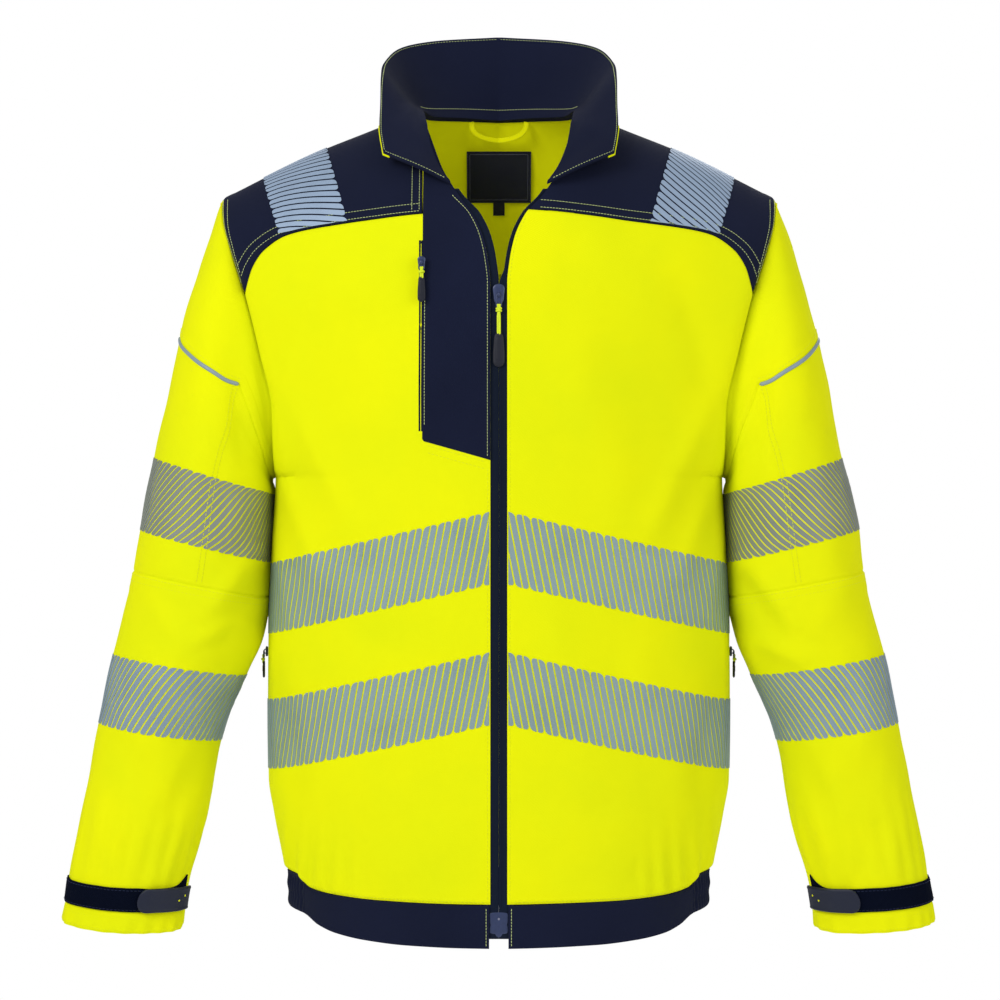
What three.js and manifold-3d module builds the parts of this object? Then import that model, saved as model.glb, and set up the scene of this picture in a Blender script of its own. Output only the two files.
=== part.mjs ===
// Zip-fronted high-visibility work jacket, size M, hanging closed with its collar open.
// Millimetres, +Z up, the front faces -Y and the wearer's left is +X.
// Every cloth piece is a closed shell: a grid on the garment's outer surface, and the same grid
// moved inwards by the cloth's thickness. Heights h are measured up from the front hem.
import * as THREE from 'three';
import { mergeVertices } from 'three/addons/utils/BufferGeometryUtils.js';
import Module from 'manifold-3d';

// Driving dimensions
const BACK_LENGTH = 712;         // hem to the centre-back neck seam
const CHEST_DEPTH_FRONT = 123.5; // armhole level, from the side seam plane to the front
const HEM_DEPTH_FRONT = 132;
const CHEST_DEPTH_BACK = 120;
const HEM_DEPTH_BACK = 118;
const UNDERARM = 391;            // height of the armhole's lowest point
const SHOULDER_TIP = 632;        // height of the armhole's highest point
const ARMHOLE_DEPTH = 0.5;       // armhole's half depth, as a share of the chest's
const NECK_HALF_WIDTH = 70.5;
const NECK_SIDE_HEIGHT = 706.9;
const COLLAR_HEIGHT = 75;
const HEM_BAND = 36;
const HEM_RISE = 9;              // the hem's side seam hangs this much higher than its front
const SLIDER_HEIGHT = 550;       // where the front zip is open from
const ZIP_SLOT = 7;              // half the visible width of the front zip
const TAPE_DROP = 60;            // reflective tape, measured up the garment
const TAPE_SLOPE = 0.237;        // the front tapes fall towards the side seams
const FRONT_TAPE_TOPS = [362, 246];
const BACK_TAPE_TOPS = [318, 200];
const CHEST_POCKET_X = 64;
const POCKET_BOTTOM = 418;
const POCKET_SLANT = 0.28;
const BACK_YOKE_SEAM = 575;
const SLEEVE_STEPS = 20;         // facets round a sleeve
const CUFF_STRAP_WIDTH = 20;
const LABEL = { width: 58, height: 48, thickness: 0.8 };

// Cloth thicknesses and clearances
const SHELL = 1.6;
const LINING = 1.0;
const TAPE = 0.5;
const SEAM = 0.35;   // each cloth edge stops this far from its seam line
const LAYER = 0.5;   // air between two cloth layers
const ARMHOLE_GAP = 1.4;

const YELLOW = 0xdfef12;
const NAVY = 0x1a2140;
const SILVER = 0x98a8b8;
const BLUE_METAL = 0x2d3c6e;
const RUBBER = 0x15182a;

const wasm = await Module();
wasm.setup();

const jacket = new THREE.Group();
jacket.name = 'jacket';
const garment = new THREE.Group();
jacket.add(garment);

function add(name, geometry, color, roughness = 0.85, metalness = 0) {
  const mesh = new THREE.Mesh(geometry, new THREE.MeshStandardMaterial({ color, roughness, metalness }));
  mesh.name = name;
  garment.add(mesh);
  return mesh;
}

// ---- small maths ----------------------------------------------------------

const lerp = (a, b, t) => a + (b - a) * t;
const clamp01 = (t) => Math.min(1, Math.max(0, t));
const range = (n) => Array.from({ length: n + 1 }, (_, i) => i / n);

// A smooth curve y(x) through a few points, by monotone cubic interpolation.
function curve(points) {
  const slope = points.map((p, i) => {
    if (i === 0 || i === points.length - 1) return 0;
    const before = (p[1] - points[i - 1][1]) / (p[0] - points[i - 1][0]);
    const after = (points[i + 1][1] - p[1]) / (points[i + 1][0] - p[0]);
    return before * after <= 0 ? 0 : (2 * before * after) / (before + after);
  });
  const last = points.length - 1;
  slope[0] = (points[1][1] - points[0][1]) / (points[1][0] - points[0][0]);
  slope[last] = (points[last][1] - points[last - 1][1]) / (points[last][0] - points[last - 1][0]);
  return (x) => {
    let i = 0;
    while (i < last - 1 && x > points[i + 1][0]) i += 1;
    const [x0, y0] = points[i];
    const [x1, y1] = points[i + 1];
    const d = x1 - x0;
    const t = (x - x0) / d;
    if (t < 0) return y0 + slope[i] * (x - x0);
    if (t > 1) return y1 + slope[i + 1] * (x - x1);
    return (2 * t ** 3 - 3 * t ** 2 + 1) * y0 + (t ** 3 - 2 * t ** 2 + t) * d * slope[i]
      + (3 * t ** 2 - 2 * t ** 3) * y1 + (t ** 3 - t ** 2) * d * slope[i + 1];
  };
}

// ---- the garment's outer surface -------------------------------------------

// Half width of the body at a height: waist, chest, then the armhole edge up to the shoulder tip.
const halfWidth = curve([
  [0, 181], [36, 183], [70, 189], [101, 195], [130, 199.6], [200, 200.4], [270, 199.6], [330, 197],
  [UNDERARM, 193.5], [445, 193], [494, 203], [551, 217.5], [583, 228], [606, 235], [SHOULDER_TIP, 239],
]);

// Height of the shoulder line over each x.
const shoulder = curve([[0, 735], [NECK_HALF_WIDTH, NECK_SIDE_HEIGHT], [110, 691], [160, 671], [239, SHOULDER_TIP]]);

// How much depth is left at a share t of the way from the underarm level to the shoulder line.
const STRAIGHT = 0.46;
const AT_STRAIGHT = 0.9717;
function shoulderProfile(t, roundness) {
  if (t <= STRAIGHT) return lerp(1, AT_STRAIGHT, t / STRAIGHT);
  const u = clamp01((t - STRAIGHT) / (1 - STRAIGHT));
  return AT_STRAIGHT * (1 - u ** roundness) ** (1 / roundness);
}

// Depth of the body surface from the side seam plane, at (x, h); positive on both sides.
function depth(x, h, back) {
  const s = Math.min(1, Math.abs(x) / halfWidth(h));
  const across = (1 - s * s) ** 0.425;
  const hem = back ? HEM_DEPTH_BACK : HEM_DEPTH_FRONT;
  const chest = back ? CHEST_DEPTH_BACK : CHEST_DEPTH_FRONT;
  if (h <= UNDERARM) return lerp(hem, chest, h / UNDERARM) * across;
  const rise = clamp01((h - UNDERARM) / (SHOULDER_TIP - UNDERARM) / 0.4);
  const atArmhole = ARMHOLE_DEPTH * Math.sqrt(1 - (1 - rise) ** 2);
  const t = clamp01((h - UNDERARM) / (shoulder(Math.abs(x)) - UNDERARM));
  return chest * (across + atArmhole * (1 - across)) * shoulderProfile(t, back ? 2.6 : 1.9);
}

const front = (x, h) => new THREE.Vector3(x, -depth(x, h, false) - SEAM, h);
const back = (x, h) => new THREE.Vector3(x, depth(x, h, true) + SEAM, h);

// The neck opening: half its width at each height, from the top of the closed zip to the shoulder.
const neckEdge = curve([
  [0, ZIP_SLOT], [SLIDER_HEIGHT, ZIP_SLOT], [569, 9], [588, 13], [608, 22], [625, 37], [634, 43],
  [646, 51], [675, 62], [698, 69], [NECK_SIDE_HEIGHT, NECK_HALF_WIDTH],
]);
const FRONT_COLLAR_END = 634;
const frontYokeSeam = curve([
  [30, 612], [70, 609], [127, 603], [160, 599], [184, 594], [203, 582], [215, 571], [221, 558],
]);
const backNeck = (x) => lerp(BACK_LENGTH, NECK_SIDE_HEIGHT, (x / NECK_HALF_WIDTH) ** 2);
const hemLine = (x) => HEM_RISE * (x / halfWidth(0)) ** 2;

// ---- closed shells from grids ----------------------------------------------

// Turns a grid of points into a closed shell of the given thickness. `offset` lifts the whole
// shell off the surface (negative is inwards), `keep` picks the cells that exist, and `wrap`
// joins the last column to the first. `flip` turns the outside round, as the back needs.
function shell(grid, { thickness = SHELL, offset = 0, keep = () => true, wrap = false, flip = false }) {
  const rows = grid.length;
  const cols = grid[0].length;
  const column = (c) => (wrap ? (c + cols) % cols : Math.min(cols - 1, Math.max(0, c)));
  const at = (r, c) => grid[Math.min(rows - 1, Math.max(0, r))][column(c)];
  const outer = [];
  const inner = [];
  for (let r = 0; r < rows; r += 1) {
    for (let c = 0; c < cols; c += 1) {
      const along = at(r, c + 1).clone().sub(at(r, c - 1));
      const up = at(r + 1, c).clone().sub(at(r - 1, c));
      const normal = along.cross(up).normalize().multiplyScalar(flip ? -1 : 1);
      outer.push(at(r, c).clone().addScaledVector(normal, offset));
      inner.push(at(r, c).clone().addScaledVector(normal, offset - thickness));
    }
  }
  const points = outer.concat(inner);
  const under = outer.length;
  const triangles = [];
  const quad = (a, b, c, d) => triangles.push(...(flip ? [a, c, b, a, d, c] : [a, b, c, a, c, d]));
  const last = wrap ? cols : cols - 1;
  const exists = (r, c) => r >= 0 && r < rows - 1 && (wrap || (c >= 0 && c < last)) && keep(r, column(c));
  for (let r = 0; r < rows - 1; r += 1) {
    for (let c = 0; c < last; c += 1) {
      if (!exists(r, c)) continue;
      const a = r * cols + c;
      const b = r * cols + column(c + 1);
      const d = a + cols;
      const e = b + cols;
      quad(a, b, e, d);
      quad(under + a, under + d, under + e, under + b);
      if (!exists(r - 1, c)) quad(b, a, under + a, under + b);
      if (!exists(r + 1, c)) quad(d, e, under + e, under + d);
      if (!exists(r, c - 1)) quad(a, d, under + d, under + a);
      if (!exists(r, c + 1)) quad(e, b, under + b, under + e);
    }
  }
  const used = [...new Set(triangles)].sort((a, b) => a - b);
  const renumber = new Map(used.map((old, i) => [old, i]));
  const geometry = new THREE.BufferGeometry();
  geometry.setAttribute('position', new THREE.Float32BufferAttribute(
    used.flatMap((i) => points[i].toArray()), 3));
  geometry.setIndex(triangles.map((i) => renumber.get(i)));
  return geometry;
}

// The mirrored copy of a shell, for the wearer's right.
function mirrored(geometry) {
  const copy = geometry.clone().scale(-1, 1, 1);
  const index = copy.getIndex().array;
  for (let i = 0; i < index.length; i += 3) [index[i], index[i + 1]] = [index[i + 1], index[i]];
  return copy;
}

function pair(name, geometry, color, roughness, metalness) {
  add(`left_${name}`, geometry, color, roughness, metalness);
  add(`right_${name}`, mirrored(geometry), color, roughness, metalness);
}

// A four-sided piece of the body: `inner` and `outer` are edges x(h), `bottom` and `top` are
// edges h(x). Columns and rows are shares of the way across and up.
function patch(surface, { inner, outer, bottom, top }, columns, rows) {
  const corner = (side, edge) => {
    let x = side(edge(NECK_HALF_WIDTH));
    for (let i = 0; i < 12; i += 1) x = side(edge(x));
    return x;
  };
  const low = [corner(inner, bottom), corner(outer, bottom)];
  const high = [corner(inner, top), corner(outer, top)];
  return rows.map((r) => columns.map((c) => {
    const xLow = lerp(low[0], low[1], c);
    const xHigh = lerp(high[0], high[1], c);
    const h = lerp(bottom(xLow) + SEAM, top(xHigh) - SEAM, r);
    const hInner = lerp(bottom(low[0]) + SEAM, top(high[0]) - SEAM, r);
    const hOuter = lerp(bottom(low[1]) + SEAM, top(high[1]) - SEAM, r);
    return surface(lerp(inner(hInner), outer(hOuter), c), h);
  }));
}

// Columns are closer together towards the side seam, where the body turns.
const ACROSS = [0, 0.14, 0.28, 0.45, 0.62, 0.76, 0.87, 0.94, 0.985, 1];
const sideEdge = (h) => halfWidth(h);
const hemTop = (x) => HEM_BAND + hemLine(x) * 0.5;

// Rows of a yoke get closer together towards the shoulder line, where the cloth turns over.
const YOKE_ROWS = [0, 0.25, 0.5, 0.7, 0.84, 0.93, 0.98, 1];

// ---- body ------------------------------------------------------------------

// Front panels: one grid for both. The chest pocket takes its upper inner corner on the right.
function frontPanelGrid() {
  const inner = [0, 0.34, 0.67];
  const insideX = (h, c) => lerp(neckEdge(h), CHEST_POCKET_X, c);
  const outsideX = (h, c) => lerp(CHEST_POCKET_X, halfWidth(h), c);
  const columns = [...inner.map((c) => (h) => insideX(h, c)), ...ACROSS.map((c) => (h) => outsideX(h, c))];
  const pocketLine = (x) => POCKET_BOTTOM - POCKET_SLANT * (CHEST_POCKET_X - Math.min(x, CHEST_POCKET_X));
  const belowRows = 12;
  const aboveRows = 7;
  const grid = [];
  for (let r = 0; r <= belowRows + aboveRows; r += 1) {
    grid.push(columns.map((x) => {
      let h = 300;
      for (let i = 0; i < 12; i += 1) {
        const middle = pocketLine(x(h));
        const target = r <= belowRows
          ? lerp(hemTop(x(h)) + SEAM, middle, r / belowRows)
          : lerp(middle, frontYokeSeam(x(h)) - SEAM, (r - belowRows) / aboveRows);
        h = target;
      }
      return front(x(h), h);
    }));
  }
  return { grid, belowRows, innerColumns: inner.length };
}

function frontPanels() {
  const { grid, belowRows, innerColumns } = frontPanelGrid();
  add('left_front_panel', shell(grid, {}), YELLOW);
  const notched = shell(grid, { keep: (r, c) => r < belowRows || c >= innerColumns });
  add('right_front_panel', mirrored(notched), YELLOW);
}

// The yokes meet the panels column by column. The right one stops at the chest pocket panel.
function frontYokes() {
  const shoulderLine = (x) => shoulder(x) + SEAM;
  const seamX = frontPanelGrid().grid.at(-1).map((p) => p.x);
  const shares = (x) => x.map((v) => (v - x[0]) / (x.at(-1) - x[0]));
  const edges = { inner: neckEdge, outer: sideEdge, bottom: frontYokeSeam, top: shoulderLine };
  const whole = shell(patch(front, edges, shares(seamX), YOKE_ROWS), {});
  add('left_front_yoke', whole, NAVY);
  const besidePocket = (h) => Math.max(CHEST_POCKET_X + SEAM, neckEdge(h) + SEAM);
  const outerX = seamX.filter((x) => x > CHEST_POCKET_X - 1);
  const short = shell(patch(front, { ...edges, inner: besidePocket }, shares(outerX), YOKE_ROWS), {});
  add('right_front_yoke', mirrored(short), NAVY);
}

// The navy chest panel fills the corner between the front zip, the yoke and the pocket's zip.
function chestPocket() {
  const outer = () => CHEST_POCKET_X - 2 * SEAM;
  const bottom = (x) => POCKET_BOTTOM - POCKET_SLANT * (CHEST_POCKET_X - x) + 3 * SEAM;
  const topOf = curve([[ZIP_SLOT, 640], [51, 646], [CHEST_POCKET_X, 694]]);
  const rows = [0, 0.12, 0.24, 0.36, 0.48, 0.58, 0.68, 0.76, 0.84, 0.92, 1];
  const columns = [0, 0.34, 0.67, 1];
  const grid = rows.map((r) => columns.map((c) => {
    const edge = lerp(bottom(ZIP_SLOT), FRONT_COLLAR_END - SEAM, r);
    const side = lerp(bottom(CHEST_POCKET_X), topOf(CHEST_POCKET_X), r);
    const x = lerp(neckEdge(edge), outer(), c);
    return front(x, lerp(edge, side, c));
  }));
  add('chest_pocket_panel', mirrored(shell(grid, {})), NAVY);
  const bag = range(4).map((r) => range(3).map((c) => front(lerp(14, 64, c), lerp(430, 590, r))));
  add('chest_pocket_bag', mirrored(shell(bag, { thickness: LINING, offset: -FACING_BEHIND - LINING - LAYER })), 0xc8cdd4);
}

function backPanels() {
  const columns = [...ACROSS.slice(1).reverse().map((c) => -c), ...ACROSS];
  const grid = range(18).map((r) => columns.map((c) => {
    let h = 300;
    for (let i = 0; i < 8; i += 1) {
      h = lerp(hemTop(c * halfWidth(h)) + SEAM, BACK_YOKE_SEAM - SEAM, r);
    }
    return back(c * halfWidth(h), h);
  }));
  add('back_panel', shell(grid, { flip: true }), YELLOW);
  const neckShare = NECK_HALF_WIDTH / halfWidth(SHOULDER_TIP);
  const yokeColumns = [0.1, 0.2, neckShare, 0.4, 0.5, 0.62, 0.76, 0.87, 0.94, 1];
  const both = [...yokeColumns.slice().reverse().map((c) => -c), 0, ...yokeColumns];
  add('back_yoke', shell(backYokeGrid(both, YOKE_ROWS), { flip: true }), NAVY);
}

// Columns are shares of the way from the centre back to the armhole.
function backYokeGrid(columns, rows) {
  const top = (x) => (Math.abs(x) < NECK_HALF_WIDTH ? backNeck(x) - SEAM : shoulder(Math.abs(x)));
  return rows.map((r) => columns.map((c) => {
    const h = lerp(BACK_YOKE_SEAM + SEAM, top(c * halfWidth(SHOULDER_TIP)), r);
    const hEdge = lerp(BACK_YOKE_SEAM + SEAM, SHOULDER_TIP, r);
    return back(c * halfWidth(hEdge), h);
  }));
}

// Inside the neck: a yellow facing over the back, with the label sewn to it.
function backFacing() {
  const rows = YOKE_ROWS.filter((r) => r < 0.95);
  const grid = backYokeGrid([-0.27, -0.2, -0.1, 0, 0.1, 0.2, 0.27], rows);
  add('back_neck_facing', shell(grid, { thickness: LINING, offset: -SHELL - 2 * LAYER, flip: true }), 0xcfd40e);
}

// The facings hold the zip tapes' other side.
const FACING_BEHIND = 4.1;
const FACING_FOOT = 7.2;
function frontFacings() {
  const grid = range(18).map((r) => [0, 0.5, 1].map((c) => {
    const h = lerp(FACING_FOOT, FRONT_COLLAR_END - 2, r);
    return front(lerp(Math.max(6.5, neckEdge(h) - 1), Math.max(40, neckEdge(h) + 16), c), h);
  }));
  pair('front_facing', shell(grid, { thickness: LINING, offset: -FACING_BEHIND }), NAVY);
}

// ---- hem -------------------------------------------------------------------

function hem() {
  const frontEnd = 0.88;
  const columns = [0, 0.1, 0.2, 0.4, 0.55, 0.68, 0.8, frontEnd];
  const band = range(2).map((r) => columns.map((c) => {
    const x = Math.max(ZIP_SLOT + 1, c * halfWidth(0));
    return front(x, lerp(hemLine(x), hemTop(x) - SEAM, r));
  }));
  pair('hem_band', shell(band, {}), NAVY);
  const sides = columns.slice(1).map((c) => -c).reverse();
  const backBand = range(2).map((r) => [...sides, ...columns].map((c) => {
    const x = c * halfWidth(0);
    return back(x, lerp(hemLine(x), hemTop(x) - SEAM, r));
  }));
  add('back_hem_band', shell(backBand, { flip: true }), NAVY);
  const around = [frontEnd, 0.94, 0.98, 0.9985].map((s) => [front, s])
    .concat([0.9985, 0.98, 0.94, frontEnd].map((s) => [back, s]));
  const elastic = range(2).map((r) => around.map(([surface, s], i) => {
    const atEnd = i === 0 || i === around.length - 1;
    const x = s * halfWidth(0) + (atEnd ? 2 * SEAM : 0);
    return surface(x, lerp(hemLine(x), hemTop(x) - SEAM, r));
  }));
  pair('hem_elastic', shell(elastic, {}), NAVY);
}

// ---- sleeves ---------------------------------------------------------------

// Outer and inner edge of the hanging sleeve at each station, with its half depth and how far
// forward it hangs. The first station is the armhole.
const SLEEVE = [
  { outer: [239, 632], inner: [193.5, 391], depth: 63, forward: 0 },
  { outer: [258, 580], inner: [196.5, 388], depth: 72, forward: 0 },
  { outer: [272, 530], inner: [197, 385], depth: 77, forward: 1 },
  { outer: [285, 470], inner: [197.6, 381], depth: 78, forward: 2 },
  { outer: [298, 407], inner: [198.5, 375], depth: 77, forward: 4 },
  { outer: [310, 352], inner: [200.4, 322], depth: 74, forward: 6 },
  { outer: [316, 309], inner: [202.6, 286], depth: 71, forward: 8 },
  { outer: [324, 272], inner: [207.5, 250], depth: 67, forward: 10 },
  { outer: [333, 238], inner: [217.5, 219.5], depth: 63, forward: 12 },
  { outer: [344.5, 178.6], inner: [240, 163], depth: 55, forward: 16 },
  { outer: [358, 110], inner: [252, 95], depth: 46, forward: 20 },
  { outer: [369, 46], inner: [267, 40], depth: 36, forward: 24 },
  { outer: [375.5, 6.2], inner: [273, 1], depth: 31, forward: 26 },
];
const along = (pick) => curve(SLEEVE.map((station, i) => [i, pick(station)]));
const sleeveX = [along((s) => s.outer[0]), along((s) => s.inner[0])];
const sleeveH = [along((s) => s.outer[1]), along((s) => s.inner[1])];
const sleeveDepth = along((s) => s.depth);
const sleeveForward = along((s) => s.forward);
const PIPING_AT = (angle) => 2.33 - 1.3 * Math.min(1, Math.abs(angle) / (0.56 * Math.PI)) ** 3.6;
const ELBOW = 6;
const CUFF = SLEEVE.length - 1;

// The armhole loop on the body's edge, at an angle from 0 over the shoulder tip to pi underarm.
function armhole(angle) {
  const h = lerp(UNDERARM, SHOULDER_TIP, (1 + Math.cos(angle)) / 2);
  const y = depth(halfWidth(h), h, angle < 0);
  return new THREE.Vector3(halfWidth(h) + ARMHOLE_GAP, angle < 0 ? y : -y, h);
}

// A point of the left sleeve: u counts stations, the angle runs from the outer edge (0) over
// the front (positive) to the inner edge (pi).
function sleeve(u, angle) {
  const share = (1 - Math.cos(angle)) / 2;
  const x = lerp(sleeveX[0](u), sleeveX[1](u), share);
  const h = lerp(sleeveH[0](u), sleeveH[1](u), share);
  const y = -sleeveForward(u) - sleeveDepth(u) * Math.sin(angle);
  const point = new THREE.Vector3(x, y, h);
  const blend = clamp01(1 - u / 1.6) ** 2;
  const out = new THREE.Vector3(ARMHOLE_GAP * (1 - blend), 0, 0);
  return blend > 0 ? point.add(out).lerp(armhole(angle), blend) : point.add(out);
}

const ringAngles = Array.from({ length: SLEEVE_STEPS }, (_, i) => Math.PI - (2 * Math.PI * i) / SLEEVE_STEPS);

// A tube of sleeve between two edges u(angle).
function sleeveTube(uTop, uBottom, rows, options) {
  const grid = range(rows).map((r) => ringAngles.map((angle) => {
    const u = lerp(uBottom(angle), uTop(angle), r);
    return sleeve(u, angle);
  }));
  return shell(grid, { wrap: true, ...options });
}

function sleeves() {
  // The stations crowd together underarm, so the same gap is a larger share of a station there.
  const gap = (a) => lerp(0.012, 0.14, ((1 - Math.cos(a)) / 2) ** 2);
  pair('sleeve_cap', sleeveTube(() => 0, (a) => PIPING_AT(a) - gap(a), 3, {}), YELLOW);
  pair('upper_sleeve', sleeveTube((a) => PIPING_AT(a) + gap(a), () => ELBOW - 0.012, 7, {}), YELLOW);
  pair('forearm', sleeveTube(() => ELBOW + 0.012, () => CUFF, CUFF - ELBOW, {}), YELLOW);
  const angles = ringAngles.filter((a) => Math.abs(a) < 0.58 * Math.PI);
  const piping = range(1).map((r) => angles.map((a) => sleeve(PIPING_AT(a) + lerp(0.06, -0.06, r), a)));
  pair('sleeve_piping', shell(piping, { thickness: 1.2, offset: 1.2 + LAYER }), SILVER, 0.4);
  const skin = { thickness: TAPE, offset: TAPE + LAYER };
  pair('upper_sleeve_tape', sleeveTube(() => 4, () => 5.15, 2, skin), SILVER, 0.45);
  pair('lower_sleeve_tape', sleeveTube(() => 8, () => 9, 1, skin), SILVER, 0.45);
}

// ---- cuffs -----------------------------------------------------------------

const STRAP_TOP = 11;
const STRAP_BOTTOM = STRAP_TOP + CUFF_STRAP_WIDTH / 41;
const TAB_START = Math.PI * 0.58;
const TAB_END = Math.PI * 0.95;

function cuffs() {
  const strip = (u0, u1, angles, options) => shell(
    range(1).map((r) => angles.map((a) => sleeve(lerp(u1, u0, r), a))), options);
  const strapAngles = ringAngles.slice(1);
  const strap = strip(STRAP_TOP, STRAP_BOTTOM, strapAngles, { thickness: 1.2, offset: 1.2 + LAYER });
  pair('cuff_strap', strap, NAVY, 0.95);
  const tabAngles = range(5).map((t) => lerp(TAB_END, TAB_START, t));
  const tab = strip(STRAP_TOP - 0.02, STRAP_BOTTOM + 0.02, tabAngles, {
    thickness: 2, offset: 2 + 1.2 + 2 * LAYER + 0.4 });
  pair('cuff_tab', tab, RUBBER, 0.6);
}

// ---- reflective tapes on the body -------------------------------------------

// The tapes stop just short of the side seams, where the pocket zips run.
const TAPE_ACROSS = [...ACROSS.slice(0, -1), 0.9992];
function bodyTapes() {
  const skin = { thickness: TAPE, offset: TAPE + LAYER };
  ['upper', 'lower'].forEach((which, i) => {
    const top = (x) => FRONT_TAPE_TOPS[i] - TAPE_SLOPE * x;
    const columns = [(h) => ZIP_SLOT + 1, (h) => lerp(ZIP_SLOT, CHEST_POCKET_X, 0.34),
      (h) => lerp(ZIP_SLOT, CHEST_POCKET_X, 0.67),
      ...TAPE_ACROSS.map((c) => (h) => lerp(CHEST_POCKET_X, halfWidth(h), c))];
    const grid = range(2).map((r) => columns.map((x) => {
      let h = top(100);
      for (let k = 0; k < 8; k += 1) h = top(x(h)) - TAPE_DROP * (1 - r);
      return front(x(h), h);
    }));
    pair(`front_${which}_tape`, shell(grid, skin), SILVER, 0.45);
    const across = [...TAPE_ACROSS.slice(1).reverse().map((c) => -c), ...TAPE_ACROSS];
    const backGrid = range(2).map((r) => across.map((c) => {
      const h = BACK_TAPE_TOPS[i] - TAPE_DROP * (1 - r);
      return back(c * halfWidth(h), h);
    }));
    add(`back_${which}_tape`, shell(backGrid, { ...skin, flip: true }), SILVER, 0.45);
  });
}

function shoulderTapes() {
  const rail = (low, high) => (r) => lerp(low, high, r);
  const innerRail = rail(127, 149);
  const outerRail = rail(186, 204);
  const half = (surface, rows) => rows.map((r) => range(3).map((c) => {
    const x = lerp(innerRail(r), outerRail(r), c);
    return surface(x, lerp(602, shoulder(x), r));
  }));
  const rows = [0.02, 0.25, 0.5, 0.7, 0.84, 0.93, 0.98, 1];
  const grid = half(front, rows).concat(half(back, rows.slice().reverse()));
  pair('shoulder_tape', shell(grid, { thickness: TAPE, offset: TAPE + 2 * LAYER }), SILVER, 0.45);
}

// ---- collar ----------------------------------------------------------------

// The neck seam from the front end (n = 0) to the centre back (n = 1), on the left.
const neckSeam = new THREE.CatmullRomCurve3([
  [FRONT_COLLAR_END, front], [648, front], [675, front], [698, front],
].map(([h, surface]) => surface(neckEdge(h), h)).concat(
  [[NECK_HALF_WIDTH, NECK_SIDE_HEIGHT]].map(([x, h]) => new THREE.Vector3(x, 0, h)),
  [62, 35, 0].map((x) => back(x, backNeck(x)))), false, 'centripetal');

// The collar's free edge over the same stretch: the fronts fall open towards the shoulders.
const collarEdge = new THREE.CatmullRomCurve3([
  [97, -86, 661], [101, -66, 684], [101.5, -42, 707], [102, -8, 738], [100, 28, 756],
  [88, 60, 772], [62, 80, BACK_LENGTH + COLLAR_HEIGHT - 6], [0, 92, BACK_LENGTH + COLLAR_HEIGHT],
].map((p) => new THREE.Vector3(...p)), false, 'centripetal');

function collar() {
  const stations = [0, 0.08, 0.18, 0.3, 0.42, 0.54, 0.66, 0.78, 0.9, 1];
  const point = (n, r) => {
    const base = neckSeam.getPoint(n);
    const fold = clamp01(1 - n / 0.4);
    base.y -= 4.4 * fold;
    base.z += 2.6 - 1.2 * fold;
    const edge = collarEdge.getPoint(n);
    const p = base.lerp(edge, r);
    p.y -= 5 * fold * Math.sin(Math.PI * r);
    return p;
  };
  const columns = [...stations, ...stations.slice(0, -1).reverse().map((n) => -n)];
  const half = stations.length;
  const grid = range(4).map((r) => columns.map((n, i) => {
    const p = point(Math.abs(n), r);
    if (i >= half) p.x = -p.x;
    return p;
  }));
  const cloth = { thickness: 1.4 };
  add('collar_outer', shell(grid, { ...cloth, offset: 1.4 + 0.2 }), NAVY);
  add('collar_inner', shell(grid, { ...cloth, offset: -0.2 }), NAVY);
}

// ---- neck label and hanger loop ---------------------------------------------

function neckLabel() {
  const low = back(LABEL.width / 2, 637);
  const high = back(LABEL.width / 2, 637 + LABEL.height);
  const tilt = Math.atan2(high.y - low.y, high.z - low.z);
  const plate = new THREE.BoxGeometry(LABEL.width, LABEL.thickness, LABEL.height);
  const label = add('neck_label', plate, NAVY);
  const clear = (SHELL + 3 * LAYER + LINING + LABEL.thickness / 2) / Math.cos(tilt) + 0.6;
  label.position.set(0, (low.y + high.y) / 2 - clear, (low.z + high.z) / 2);
  label.rotation.x = -tilt;
}

const loopY = (x) => back(x, backNeck(x) - 1).y - 3.3;
function hangerLoop() {
  const width = 27;
  const drop = 21;
  const strip = range(10).map((t) => {
    const angle = Math.PI * t;
    const x = width * Math.cos(angle);
    return [0, 4.5].map((w) => {
      const down = (drop - w) * Math.sin(angle) ** 0.6;
      return new THREE.Vector3(x * (1 - w / width), loopY(x), backNeck(x) - 2 - down);
    });
  });
  add('hanger_loop', shell(strip, { thickness: 1.2, flip: true }), 0xcfd40e);
}

// ---- fastenings --------------------------------------------------------------

function toSolid(geometry) {
  const bare = geometry.clone();
  bare.deleteAttribute('normal');
  bare.deleteAttribute('uv');
  const merged = mergeVertices(bare, 1e-4);
  return new wasm.Manifold(new wasm.Mesh({
    numProp: 3,
    vertProperties: new Float32Array(merged.getAttribute('position').array),
    triVerts: new Uint32Array(merged.getIndex().array),
  }));
}

function join(geometries) {
  const mesh = geometries.map(toSolid).reduce((all, one) => all.add(one)).getMesh();
  const geometry = new THREE.BufferGeometry();
  geometry.setAttribute('position', new THREE.BufferAttribute(new Float32Array(mesh.vertProperties), 3));
  geometry.setIndex([...mesh.triVerts]);
  return geometry;
}

const box = (x0, x1, y0, y1, z0, z1) => new THREE.BoxGeometry(x1 - x0, y1 - y0, z1 - z0)
  .translate((x0 + x1) / 2, (y0 + y1) / 2, (z0 + z1) / 2);

// Front zip: the straight line down the centre front, as y at each height.
const zipLine = (h) => -depth(0, h, false) - SEAM;
const ZIP_TAPE = { from: 0.7, to: 15, thickness: LINING, behind: 2.5 };
const SLIDER = { halfWidth: 5.2, length: 17, plate: 2, bridge: 0.3 };
const SLIDER_GAP = 0.5;

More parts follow.
